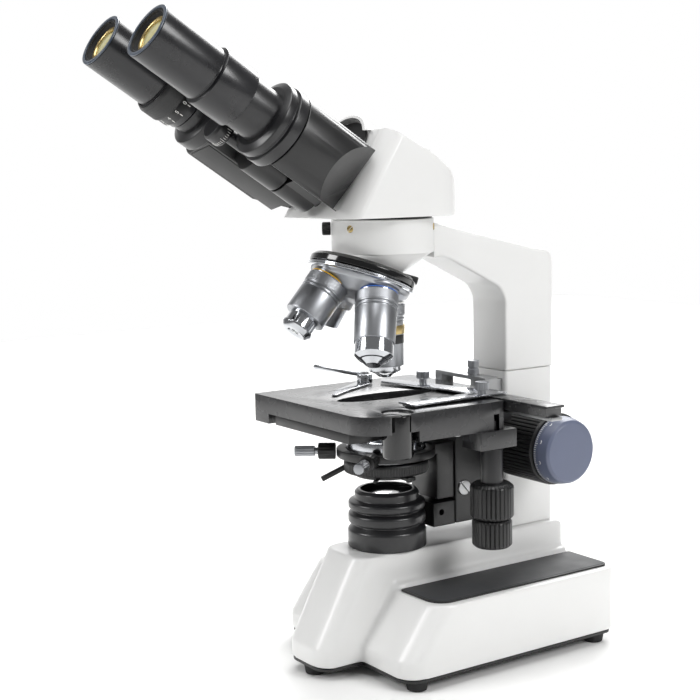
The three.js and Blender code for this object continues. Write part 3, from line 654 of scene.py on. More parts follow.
# ---------------------------------------------------------------- base
@dataclass
class Base:
    """The base casting with its plate, feet, inlay pads and rear panel."""

    floor: float = 7.5
    sill: float = 17.5
    wing_half_width: float = 65.0
    wing_front: float = -33.5
    wing_top: float = 46.3
    wing_lean: float = 21.5
    ledge_half_width: float = 24.5
    ledge_top: float = 50.0
    spine_half_width: float = 20.5
    spine_front: float = -60.5
    spine_top: float = 67.3
    spine_lean: float = 27.0
    rear: float = 123.0
    pad_inner: float = 25.5
    pad_outer: float = 60.5
    pad_front: float = -9.5

    def _layer(self, half_width: float, front: float, corner: float, top: float, lean: float) -> list[Blank]:
        """One layer of the casting: an upright sill and a leaning part above it."""
        outline = fillet([(-half_width, front, corner), (half_width, front, corner),
                          (half_width, self.rear, 5), (-half_width, self.rear, 5)])
        return [slab(outline, self.floor, self.sill), slab(outline, self.sill - 0.01, top, lean)]

    def casting(self) -> None:
        """Melt the wings, the ledge and the spine into one soft-edged casting."""
        wings = self._layer(self.wing_half_width, self.wing_front, 13, self.wing_top, self.wing_lean)
        ledge = self._layer(self.ledge_half_width, -36, 11, self.ledge_top, self.wing_lean)
        spine = self._layer(self.spine_half_width, self.spine_front, 11, self.spine_top, self.spine_lean)
        body = wings[0].gather(wings[1], *ledge, *spine).cast(1.1, 9)
        rear_round = side_slab([(self.rear - 9, self.spine_top + 3), (self.rear + 3, self.spine_top + 3),
                                (self.rear + 3, self.spine_top - 9)]
                               + [(self.rear - 9 + y, self.spine_top - 9 + z) for y,
                                  z in ring_arc(9, 0, 90, 10)],
                               -40, 40)
        switch_hole = box(-14, 8, self.rear - 6, self.rear + 2, 26, 41)
        inlet_hole = box(18, 46, self.rear - 6, self.rear + 2, 16, 37)
        body.cut(rear_round, switch_hole, inlet_hole)
        body.place("base_casting", UPRIGHT, "stand", POWDER_WHITE, ["base_housing"])

    def underside(self) -> None:
        """The dark plate under the casting and the five feet."""
        wings = fillet([(-64, -32.5, 12), (64, -32.5, 12), (64, 122, 5), (-64, 122, 5)])
        nose = fillet([(-19.5, -59.5, 10), (19.5, -59.5, 10), (19.5, 0, 0), (-19.5, 0, 0)])
        plate = slab(wings, FOOT + 0.05, 7.15).join(slab(nose, FOOT + 0.05, 7.15))
        plate.edges(0.3, 2).place("underside_plate", UPRIGHT, "stand", ENAMEL_BLACK, ["base_plate"])
        for node in ("foot_nose", "foot_front_right", "foot_front_left", "foot_rear_right", "foot_rear_left"):
            low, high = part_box(node)
            middle = (low + high) / 2 / MM
            foot = turned([(0, 0), (2.2, 0), (2.4, 0.5), (4.6, 0.5), (4.8, 0), (5.6, 0, 0.5),
                           (6.5, 5.2, 0.3), (0, 5.2)], 56)
            foot.place(node + "_rubber", moved(UPRIGHT, middle.x, middle.y), "stand", NITRILE, [node])

    def pads(self) -> None:
        """The vinyl inlays on the wings, each in a thin black frame."""
        for name, side in (("right", 1), ("left", -1)):
            corners = [(self.pad_inner, self.pad_front, 1.5), (self.pad_outer, self.pad_front, 11),
                       (self.pad_outer, self.rear - 1, 5), (self.pad_inner, self.rear - 1, 1.5)]
            inner = [(self.pad_inner + 0.9, self.pad_front + 0.9, 1),
                     (self.pad_outer - 0.9, self.pad_front + 0.9, 10.2),
                     (self.pad_outer - 0.9, self.rear - 1.9, 4.2), (self.pad_inner + 0.9, self.rear - 1.9, 1)]
            sheet = slab(fillet(inner, 10), self.wing_top + 0.3, self.wing_top + 1.55).edges(0.35)
            rim = slab(fillet(corners, 10), self.wing_top - 0.6, self.wing_top + 1.2).edges(0.3)
            if side < 0:
                sheet.mirror_x()
                rim.mirror_x()
            sheet.place(f"pad_{name}_vinyl", UPRIGHT, "stand", VINYL_GREY, [f"pad_{name}"])
            rim.place(f"pad_{name}_frame", UPRIGHT, "stand", ABS_BLACK)

    def rear_panel(self) -> None:
        """Rocker switch, appliance inlet with its three blades, and the lamp dimmer."""
        rocker = side_slab(fillet([(self.rear - 4, 28.2), (self.rear + 0.6, 28.2, 0.6),
                                   (self.rear + 0.3, 33.5, 8),
                                   (self.rear + 2.5, 38.8, 0.6), (self.rear - 4, 38.8)]), -12.4, 6.4)
        rocker.edges(0.3).place("switch_rocker", UPRIGHT, "power_switch", LACQUER_BLACK, ["rocker_switch"])
        bezel = box(-13.9, 7.9, self.rear - 1, self.rear + 0.9, 26.1, 40.9)
        bezel.cut(box(-12.8, 6.8, self.rear - 3, self.rear + 3, 27.2, 39.9)).edges(0.25)
        bezel.place("switch_bezel", UPRIGHT, "stand", ABS_BLACK)
        for text, z in (("I", 36.4), ("0", 30.6)):
            mark = lettering(text, 2.2)
            place = local_frame((-3, self.rear + (1.75 if text == "I" else 0.62), z - FOOT),
                                Vector((-1, 0, 0)), Vector((0, 0, 1)))
            mark.place(f"switch_mark_{text}", place, "power_switch", INK_WHITE)
        shell = box(18.4, 45.6, self.rear - 5, self.rear + 1.2, 16.4, 36.6)
        shell.cut(box(22, 42, self.rear - 3.4, self.rear + 2, 20, 33)).edges(0.5)
        shell.place("inlet_shell", UPRIGHT, "stand", ABS_BLACK, ["mains_inlet"])
        blades = [box(x - 1, x + 1, self.rear - 3.6, self.rear - 0.4, z - 2, z + 2).edges(0.3)
                  for x, z in ((27, 25), (37, 25), (32, 29))]
        blades[0].gather(*blades[1:]).place("inlet_blades", UPRIGHT, "stand", CHROMIUM)
        wheel = turned([(0, 0), (7.4, 0, 0.6), (7.4, 6.6, 1), (4.5, 6.6, 0.5), (4.2, 6.2, 0.5), (0, 6.2)],
                       240,
                       relief=flutes(30, 0.45, 0.4, 6.3))
        low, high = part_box("dimmer_knob")
        spot = (high.x / MM, (low.y + high.y) / 2 / MM, (low.z + high.z) / 2 / MM + FOOT)
        wheel.place("dimmer_wheel", facing(UPRIGHT, spot, (-1, 0, 0)), "dimmer", ABS_BLACK, ["dimmer_knob"])

    def build(self) -> None:
        """Make the whole base."""
        self.casting()
        self.underside()
        self.pads()
        self.rear_panel()


# ---------------------------------------------------------------- lamp
@dataclass
class Lamp:
    """The threaded lamp collar on the base, its field lens and the bulb inside."""

    foot_radius: float = 23.2
    foot_z: float = 67.45

    def build(self) -> None:
        """Turn the collar with its three fat ribs, glaze it, and close it under the lens with a black disc of
        painted shade.
        """
        z = self.foot_z
        profile = [(14.4, z), (self.foot_radius, z, 0.6), (self.foot_radius, 77.6, 2.2), (20.4, 80.4, 1),
                   (20.4, 81, 0.6), (22.9, 82, 1.6), (22.9, 87.2, 1.8), (20.2, 88.6, 0.7), (20.2, 89.4, 0.7),
                   (22.7, 90.2, 1.6), (22.7, 94.4, 1.6), (18.9, 95.6, 0.6), (18.9, 99.6, 0.8),
                   (17.2, 101.3, 0.5),
                   (15.4, 101.3, 0.4), (15.4, 99.4, 0.3), (16.2, 99.2, 0.2), (16.2, 92), (14.2, 92)]
        collar = turned(profile, 128, closed=True, steps=5)
        collar.place("lamp_collar_turned", UPRIGHT, "stand", ENAMEL_BARREL, ["lamp_collar"])
        lens = turned([(0, 92.2), (15.9, 92.2), (15.9, 95.6), (13, 97.2, 6), (7, 98.8, 12), (0, 99.2)], 96,
                      steps=6)
        lens.place("field_lens", UPRIGHT, "stand", GLASS_CLEAR, ["collector_lens"])
        # Painted shade: an opaque flat black disc closes the collar just under the field lens so the lens
        # looks dark; it stands for the shade inside the lamp housing and hides the bulb.
        shade = turned([(0, 91.3), (14.1, 91.3), (14.1, 91.9), (0, 91.9)], 64)
        shade.place("lamp_painted_shade_disc", UPRIGHT, "stand", BAFFLE_AND_SHADE_BLACK)
        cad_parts["lamp_bulb"].data.materials.clear()
        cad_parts["lamp_bulb"].data.materials.append(GLASS_CLEAR.build())


# ---------------------------------------------------------------- limb
@dataclass
class Limb:
    """Column, arm and the ring that carries the head and the nosepiece."""

    half_width: float = 16.0
    front: float = 79.0
    back: float = 117.0
    seam: float = 164.5
    ring_radius: float = 29.5
    ring_low: float = 239.8
    ring_high: float = 259.5
    screw_azimuths: tuple[float, ...] = (-73.4, 46.6, 166.6)

    def column(self) -> None:
        """The lower column with its rail slot, and the steel guide rails."""
        w = self.half_width
        outline = fillet([(-w, self.front, 2), (w, self.front, 2), (w, self.back, 3.2), (-w, self.back, 3.2)])
        column = slab(outline, 67.45, self.seam - 0.12).edges(0.35, 2, 60)
        bore = bar(7.3, (-20, 85, 122), (20, 85, 122), edge=0)
        column.cut(box(-5.6, 5.6, self.front - 1, 92.4, 84, 160), bore)
        column.place("column_shell", UPRIGHT, "stand", POWDER_WHITE, ["pillar"])
        rails = [box(x - 2.4, x + 2.4, self.front - 4.9, self.front + 0.4, 84.1,
                     159.9).edges(0.4) for x in (-10, 10)]
        rails[0].gather(rails[1]).place("guide_rails", UPRIGHT, "stand", STEEL)

    def arm(self) -> None:
        """The bent arm, cast in one with soft edges, open where the ring stands in it."""
        side = fillet([(8, 236.4), (31.5, 236.4, 2), (36.6, 235, 4), (74.5, 216.4, 12), (self.front, 208, 3),
                       (self.front, self.seam + 0.12), (self.back, self.seam + 0.12), (self.back, 236.5, 15),
                       (104, 238.2, 14), (23.7, 257, 0), (8, 257)], 12)
        arm = side_slab(side, -self.half_width, self.half_width).cast(0.9, 8)
        seat = bar(self.ring_radius + 0.25, (0, 0, 200), (0, 0, 280), 128, 0)
        flat = box(-30, 30, 60, 130, self.seam - 3, self.seam + 0.12)
        arm.cut(seat, flat).place("arm_casting", UPRIGHT, "stand", POWDER_WHITE, ["arm"])

    def ring(self) -> None:
        """The ring, the slanted seat of the nosepiece under it, and the three set screws."""
        top = turned([(9, self.ring_low), (self.ring_radius, self.ring_low, 0.8),
                      (self.ring_radius, self.ring_high, 0.5),
                      (9, self.ring_high)], 128, closed=True)
        level = [(x, y, self.ring_low + 0.6) for x, y in ring_arc(self.ring_radius - 0.4, 0, 360, 96)[:-1]]
        tilt = Matrix.Rotation(-NOSE_TILT, 4, "X")
        low_centre = Vector((0, 0, NOSE_APEX)) + tilt @ Vector((0, 0, -36.8))
        slanted = [tuple(low_centre + tilt @ Vector((x, y, 0))) for x, y in ring_arc(20, 0, 360, 96)[:-1]]
        seat = loft(slanted, level).edges(0.4, 2, 50)
        seat.cut(bar(9, (0, 0, 200), (0, 0, 280), 64, 0))
        top.gather(seat).place("head_ring", UPRIGHT, "stand", POWDER_WHITE, ["head_carrier"])
        for i, azimuth in enumerate(self.screw_azimuths):
            angle = math.radians(azimuth)
            way = (math.cos(angle), math.sin(angle), 0.0)
            spot = (way[0] * (self.ring_radius - 0.5), way[1] * (self.ring_radius - 0.5), 254.6)
            screw = slotted_screw(2.1, 0.9, 0.6).turn(60)
            screw.place(f"set_screw_{i}", facing(UPRIGHT, spot, way), "stand", BRASS)

    def clamp(self) -> None:
        """The black clamp knob that holds the head in its dovetail."""
        angle = math.radians(-126)
        way = (math.cos(angle), math.sin(angle), 0.0)
        spot = (way[0] * (self.ring_radius + 0.4), way[1] * (self.ring_radius + 0.4), 254.2)
        knob = turned([(0, 0), (3.8, 0, 0.4), (3.8, 4.9, 0.8), (0, 4.9)], 144,
                      relief=flutes(18, 0.3, 0.3, 4.6))
        knob.place("clamp_knob", facing(UPRIGHT, spot, way), "head_clamp", ABS_BLACK, ["head_clamp_screw"])

    def build(self) -> None:
        """Make the whole limb."""
        self.column()
        self.arm()
        self.ring()
        self.clamp()


# ---------------------------------------------------------------- nosepiece
@dataclass
class Objective:
    """One objective: its station on the turret, the colour of its ring and its turned steps."""

    name: str
    station: int
    ring: Finish
    barrel: list[Point2]
    nose: list[Point2]
    nose_finish: Finish = CHROMIUM
    shoulder: float = 54.5
    knurl_radius: float = 12.3

    def frame(self) -> Matrix:
        """The objective's own frame: its Z runs from the shoulder towards the specimen."""
        turned_by = Matrix.Rotation(-math.radians(90 * self.station), 4, "Z")
        return (NOSE @ turned_by @ Matrix.Rotation(NOSE_TILT, 4, "X")
                @ Matrix.Translation((0, 0, -self.shoulder * MM)) @ Matrix.Rotation(math.pi, 4, "X"))

    def build(self) -> None:
        """Turn the collar, its knurl, the coloured ring, the barrel and the front."""
        where = self.frame()
        neck = turned([(0, -0.4), (10.4, -0.4), (10.4, 0.9, 0.2), (11.6, 1.0, 0.2), (11.6, 2.3, 0.3),
                       (0, 2.3)], 96)
        neck.place(self.name + "_neck", where, "nosepiece", CHROMIUM, [self.name])
        stripe = turned([(10.4, 0.95), (11.75, 0.95, 0.3), (11.75, 1.75, 0.3), (10.4, 1.75)], 96, closed=True)
        stripe.place(self.name + "_colour_ring", where, "nosepiece", self.ring)
        knurl = turned([(9, 2.3), *rows(self.knurl_radius, 2.5, 8.0, 0.24), (9, 8.2)], 420, closed=True,
                       relief=lambda a, r, z: diamond(72, 0.28, 1.07)(a, r, z) if r > 10 else r)
        knurl.place(self.name + "_knurl", where, "nosepiece", CHROMIUM_SATIN, sharp=180)
        barrel = turned([(0, 8.1), (12.2, 8.1, 0.2), *self.barrel], 112)
        barrel.place(self.name + "_barrel", where, "nosepiece", CHROMIUM_SATIN)
        front = turned(self.nose, 96)
        front.place(self.name + "_front", where, "nosepiece", self.nose_finish)
        tip = max(z for _, z, *_ in self.nose)
        glass = turned([(0, tip - 0.6), (2.2, tip - 0.6), (1.9, tip - 0.05, 0.4), (0, tip + 0.02)], 40)
        glass.place(self.name + "_lens", where, "nosepiece", GLASS_CLEAR)


@dataclass
class Nosepiece:
    """The black cover plate, the chromed turret and four objectives."""

    rim_radius: float = 31.5
    stations: int = 4

    def cap(self) -> None:
        """The fixed cover plate with the detent spring's housing on its rear edge."""
        cap = turned([(0, -42.0), (31.2, -42.0, 0.4), (31.1, -38.8, 1.0), (29.2, -36.8, 1.2),
                      (21.6, -36.8, 0.6),
                      (20.8, -37.3, 0.2), (0, -37.35)], 128, steps=6)
        cap.cut(bar(8, (0, 0, -60), (0, 0, -20), 48, 0))
        cap.place("nosepiece_cover", NOSE, "stand", LACQUER_BLACK, ["nosepiece_cap"])
        spring = box(-3.4, 3.4, -4.2, 4.6, -39, -34.6).edges(0.8)
        spring.place("detent_housing", moved(NOSE, 15.2, 22.4, 0, -34), "stand", ABS_BLACK)

    def turret(self) -> None:
        """The turret: a notched rim, a polished dish and a threaded seat for each objective."""
        rim = turned([(0, -42.35), (30.4, -42.35, 0.3), (self.rim_radius, -43.0, 0.2),
                      (self.rim_radius, -43.5, 0.1),
                      (31.1, -43.7, 0.1), (31.1, -44.0, 0.1), (self.rim_radius, -44.2, 0.1),
                      (self.rim_radius, -44.8, 0.3),
                      (30.4, -45.3, 0.2), (0, -45.3)], 128)
        dish = turned([(0, -45.2), (29.6, -45.2, 0.4), (28.5, -48.1, 2), (20.2, -54.5, 12), (10, -57.9, 8),
                       (0, -59.4)], 128, steps=6)
        for i in range(self.stations):
            tilt = Matrix.Rotation(-TURN * i / self.stations, 4, "Z") @ Matrix.Rotation(NOSE_TILT, 4, "X")
            seat = turned([(0, -45.0), (12.9, -45.0), (12.9, -54.2, 0.5), (0, -54.2)], 72)
            seat.item.data.transform(tilt)
            dish.join(seat)
        dish.place("turret_dish", NOSE, "nosepiece", CHROMIUM_SATIN, ["turret"])
        rim.place("turret_rim", NOSE, "nosepiece", CHROMIUM)

    def build(self) -> None:
        """Make the nosepiece and screw in its objectives."""
        self.cap()
        self.turret()
        slots = [(12.0, 9.0, 0.2), (11.2, 9.1, 0.2), (11.2, 10.0, 0.2), (12.0, 10.1, 0.2), (12.0, 11.0, 0.2),
                 (11.2, 11.1, 0.2), (11.2, 11.9, 0.2), (11.9, 12.0, 0.2)]
        Objective("objective_10x", 2, INK_YELLOW,
                  [*slots, (11.9, 27.2, 0.5), (8.2, 27.2), (0, 27.2)],
                  [(0, 27.0), (8.6, 27.0), (8.6, 33.9, 0.2), (9.3, 34.0, 0.2), (9.3, 35.2, 0.3),
                   (7.4, 37.6, 0.3),
                   (4.4, 37.6, 0.2), (3.4, 36.9, 0.2), (0, 36.9)]).build()
        Objective("objective_40x", 1, INK_BLUE,
                  [*slots, (11.5, 31.2, 0.4), (10.9, 31.3), (0, 31.3)],
                  [(0, 31.0), (10.8, 31.0), (10.8, 38.8, 0.5), (8.2, 41.2, 0.6), (7.2, 41.4, 0.3),
                   (4.2, 44.3, 0.4),
                   (0, 44.3)]).build()
        Objective("objective_100x", 0, INK_WHITE,
                  [*slots, (11.4, 12.6), (11.4, 38.1, 0.4), (9.6, 38.2), (0, 38.2)],
                  [(0, 38.0), (9.6, 38.0), (9.6, 41.3, 0.5), (5.6, 43.2, 0.5), (3.6, 44.95, 0.3),
                   (0, 44.95)]).build()
        Objective("objective_4x", 3, INK_RED,
                  [(11.9, 8.7, 0.2), (10.4, 9.0, 0.2), (10.4, 21.4, 0.5), (8.0, 22.15, 0.2),
                   (6.2, 21.8, 0.2), (0, 21.8)],
                  [(0, 21.0), (6.0, 21.0), (6.0, 22.1, 0.2), (4.6, 22.15, 0.2), (4.0, 21.6),
                   (0, 21.6)]).build()
        thread = Objective("objective_100x", 0, INK_WHITE, [], []).frame()
        brass = turned([(11.0, 14.4), (12.1, 14.4, 0.2), (12.1, 19.4, 0.2), (11.0, 19.4)], 96, closed=True)
        brass.place("objective_100x_brass_ring", thread, "nosepiece", BRASS)
        band = turned([(11.0, 19.9), (11.55, 19.9, 0.1), (11.55, 25.0, 0.1), (11.0, 25.0)], 96, closed=True)
        band.place("objective_100x_black_band", thread, "nosepiece", ABS_BLACK)


# ---------------------------------------------------------------- focusing
@dataclass
class Focus:
    """Coaxial coarse and fine knobs, and the carriage on the guide rails."""

    y: float = 85.0
    z: float = 122.0
    coarse_radius: float = 21.5
    fine_radius: float = 20.0

    def side_frame(self, side: int) -> Matrix:
        """The knobs' frame: Z looks out along +X or -X."""
        return facing(UPRIGHT, (0, self.y, self.z), (side, 0, 0))

    def knobs(self, suffix: str, side: int) -> None:
        """The ribbed coarse knob, the index ring, the domed fine knob and its scale."""
        where = self.side_frame(side)
        coarse = turned([(6, 18.6), (20.5, 18.6, 0.6), (21.5, 19.8, 0.6), *rows(21.5, 21, 53, 4),
                         (21.3, 54.9, 0.8), (6, 54.9)],
                        540, closed=True, relief=flutes(54, 0.75, 20.4, 53.6, 0.42))
        coarse.place(f"coarse_grip_{suffix}", where, "coarse_drive", ABS_BLACK, [f"coarse_knob_{suffix}"])
        fine = turned([(0, 55.7), (19.2, 55.7), (self.fine_radius, 56.4, 0.3), (self.fine_radius, 60.2, 3),
                       (18.6, 65.6, 1.8), (17.0, 66.9, 1.2), (0, 66.9)], 128, steps=8)
        fine.place(f"fine_cap_{suffix}", where, "fine_drive", ABS_BLUE, [f"fine_knob_{suffix}"])
        ticks = [box(-0.17, 0.17, 0.1, 2.3 if i % 10 == 0 else 1.5, -0.1, 0.07).shift(0, 56.6)
                 for i in range(100)]
        for i, tick in enumerate(ticks):
            tick.shift(TURN * (self.fine_radius - 0.05) * i / 100)
        ticks[0].gather(*ticks[1:]).wrap(self.fine_radius - 0.02)
        ticks[0].place(f"fine_scale_{suffix}", where, "fine_drive", INK_WHITE, sharp=10)
        digits = []
        for i in range(10):
            digit = lettering(str(i * 10), 2.2, 0.2)
            digit.turn(90).shift(TURN * (self.fine_radius - 0.5) * i / 10, 60.1)
            digits.append(digit)
        digits[0].gather(*digits[1:]).wrap(self.fine_radius - 0.22)
        digits[0].place(f"fine_figures_{suffix}", where, "fine_drive", INK_WHITE, sharp=10)
        index = turned([(19.4, 55.05), (20.9, 55.05, 0.15), (20.9, 55.5, 0.15), (19.4, 55.5)], 96,
                       closed=True)
        index.place(f"index_ring_{suffix}", where, "coarse_drive", ABS_BLACK)

    def carriage(self) -> None:
        """The black carriage block, its clamp screw and the fixed lower stage plate's bracket."""
        block = side_slab(fillet([(41, 76, 1), (78, 76, 1), (78, 133), (72, 133), (72, 139.5), (44, 139.5),
                                  (44, 133),
                                  (41, 133)]), -14, 14).edges(0.6)
        channels = [box(x - 2.9, x + 2.9, 73.5, 80, 70, 160) for x in (-10, 10)]
        screw_hole = bar(4.7, (12.6, 47.3, 97), (16, 47.3, 97), edge=0)
        block.join(box(-12.9, 12.9, 25.1, 41.5, 75.6, 89.9).edges(0.5))
        block.cut(*channels, screw_hole, bar(1.9, (-14, 31, 84), (14, 31, 84), 32, 0))
        block.join(box(-5, 5, 70, 78.6, 92, 136))
        block.place("carriage_block", UPRIGHT, "carriage", ENAMEL_BLACK, ["focus_carriage"])
        screw = slotted_screw(4.5, 2.4, 1.0).turn(40)
        screw.place("carriage_screw", facing(UPRIGHT, (12.6, 47.3, 97), (1, 0, 0)), "carriage", STEEL)

    def build(self) -> None:
        """Make both sides and the carriage."""
        for suffix, side in (("right", 1), ("left", -1)):
            self.knobs(suffix, side)
        self.carriage()
        for node, finish in (("coarse_shaft", STEEL), ("fine_shaft", STEEL)):
            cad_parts[node].data.materials.clear()
            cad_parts[node].data.materials.append(finish.build())


# ---------------------------------------------------------------- condenser
@dataclass
class Condenser:
    """The substage condenser in its carrier, with iris, filter holder and controls."""

    body_radius: float = 23.2
    iris_radius: float = 25.0

    def body(self) -> None:
        """The bright body, its black carrier ring and the top lens."""
        body = turned([(10, 119.5), (23.2, 119.5, 0.4), (23.2, 131.6, 0.8), (17.4, 133, 1),
                       (14, 142.4, 0.6), (10, 142.4)],
                      112, closed=True)
        body.place("condenser_shell", UPRIGHT, "condenser", CHROMIUM, ["condenser_body"])
        lens = turned([(0, 134), (9.6, 134), (9.6, 143.4, 0.3), (6.5, 144.6, 2), (0, 145)], 72)
        lens.place("condenser_top_lens", UPRIGHT, "condenser", GLASS_CLEAR, ["condenser_lens"])
        ring = turned([(23.7, 121.1), (29, 121.1, 0.5), (29, 125.9, 0.5), (23.7, 125.9)], 128, closed=True)
        slide = box(-12.9, 12.9, 28, 40.4, 92.1,
                    121.2).join(box(-12.9, 12.9, 24, 40.4, 119.8, 125.9)).edges(0.5)
        slide.cut(bar(23.7, (0, 0, 110), (0, 0, 140), 96, 0))
        ring.gather(slide).place("condenser_fork", UPRIGHT, "condenser", ENAMEL_BLACK, ["condenser_carrier"])

    def iris(self) -> None:
        """The knurled iris ring with its lever, and the leaves of the diaphragm inside."""
        grip = turned([(21, 112.1), (24.4, 112.1, 0.3), (25, 112.8), *rows(25, 113, 117.6, 0.6),
                       (24.4, 118.9, 0.3),
                       (9, 118.9), (9, 117.2), (21, 116.8)], 360, closed=True,
                       relief=flutes(90, 0.3, 112.9, 117.7, 0.5))
        grip.place("iris_grip", UPRIGHT, "iris", ABS_BLACK, ["iris_ring"])
        start, end = Vector((-12.6, -20.4, 114.4)), Vector((-19.8, -32.5, 107.4))
        lever = bar(1.65, tuple(start), tuple(end), 32, 0.5)
        lever.place("iris_lever", UPRIGHT, "iris", ABS_BLACK)
        leaves = []
        for i in range(8):
            leaf = slab(fillet([(5.5, -1, 1), (20.2, -6, 2), (20.2, 7, 2), (5.5, 4, 1)], 4),
                        117.0 + 0.02 * i, 117.12 + 0.02 * i).turn(45 * i)
            leaves.append(leaf)
        leaves[0].gather(*leaves[1:]).place("iris_leaves", UPRIGHT, "iris", STEEL)

    def holder(self) -> None:
        """The swing-out filter ring on its pivot, with a handle."""
        ring = turned([(14, 109.5), (18.5, 109.5, 0.3), (18.5, 111.6, 0.3), (16.2, 111.6, 0.2),
                       (16.2, 110.3), (14, 110.3)],
                      96, closed=True)
        arm = box(17, 25.3, -2.9, 2.9, 109.5, 111.6).edges(0.4)
        pin = bar(1.8, (22.6, 0, 108.4), (22.6, 0, 111.7), 32, 0.3)
        handle = bar(1.05, (11.4, -13.6, 110.5), (17.4, -20.7, 110.5), 24, 0.4)
        ring.gather(arm, pin, handle).place("filter_ring", UPRIGHT, "filter_swing", ENAMEL_BLACK,
                                            ["filter_holder"])

    def screws(self) -> None:
        """Two centring screws: a black collar, a bright neck and a fluted grip."""
        for side, azimuth in (("left", -128), ("right", -52)):
            angle = math.radians(azimuth)
            way = (math.cos(angle), math.sin(angle), 0.0)
            where = facing(UPRIGHT, (way[0] * 29.5, way[1] * 29.5, 123.5), way)
            collar = turned([(0, 0.1), (4.9, 0.1, 0.5), (4.9, 10.4, 0.8), (0, 10.4)], 200,
                            relief=flutes(14, 0.5, 1.2, 9.8, 0.5))
            grip = turned([(0, 10.3), (2, 10.3), (2, 12.2), (3.1, 12.4, 0.3), (3.1, 24.4, 0.6), (0, 24.4)],
                          200,
                          relief=flutes(16, 0.3, 12.6, 24.2, 0.5))
            collar.place(f"centring_collar_{side}", where, f"centring_{side}", ABS_BLACK)
            grip.place(f"centring_grip_{side}", where, f"centring_{side}", CHROMIUM_SATIN,
                       [f"centring_screw_{side}"])

    def height_knob(self) -> None:
        """The knob that raises the condenser, on the left of the carriage."""
        knob = turned([(0, 0), (2.6, 0), (2.6, 3), (8.6, 3, 0.6), (9.5, 4.2, 0.5), (9.5, 15.6, 1.2),
                       (6, 16.6, 0.5),
                       (0, 16.6)], 320, relief=flutes(32, 0.4, 4.4, 15.4))
        knob.place("condenser_height_knob", facing(UPRIGHT, (-14.3, 46, 106), (-1, 0, 0)), "condenser_drive",
                   ABS_BLACK, ["condenser_knob"])

    def build(self) -> None:
        """Make the whole condenser."""
        self.body()
        self.iris()
        self.holder()
        self.screws()
        self.height_knob()


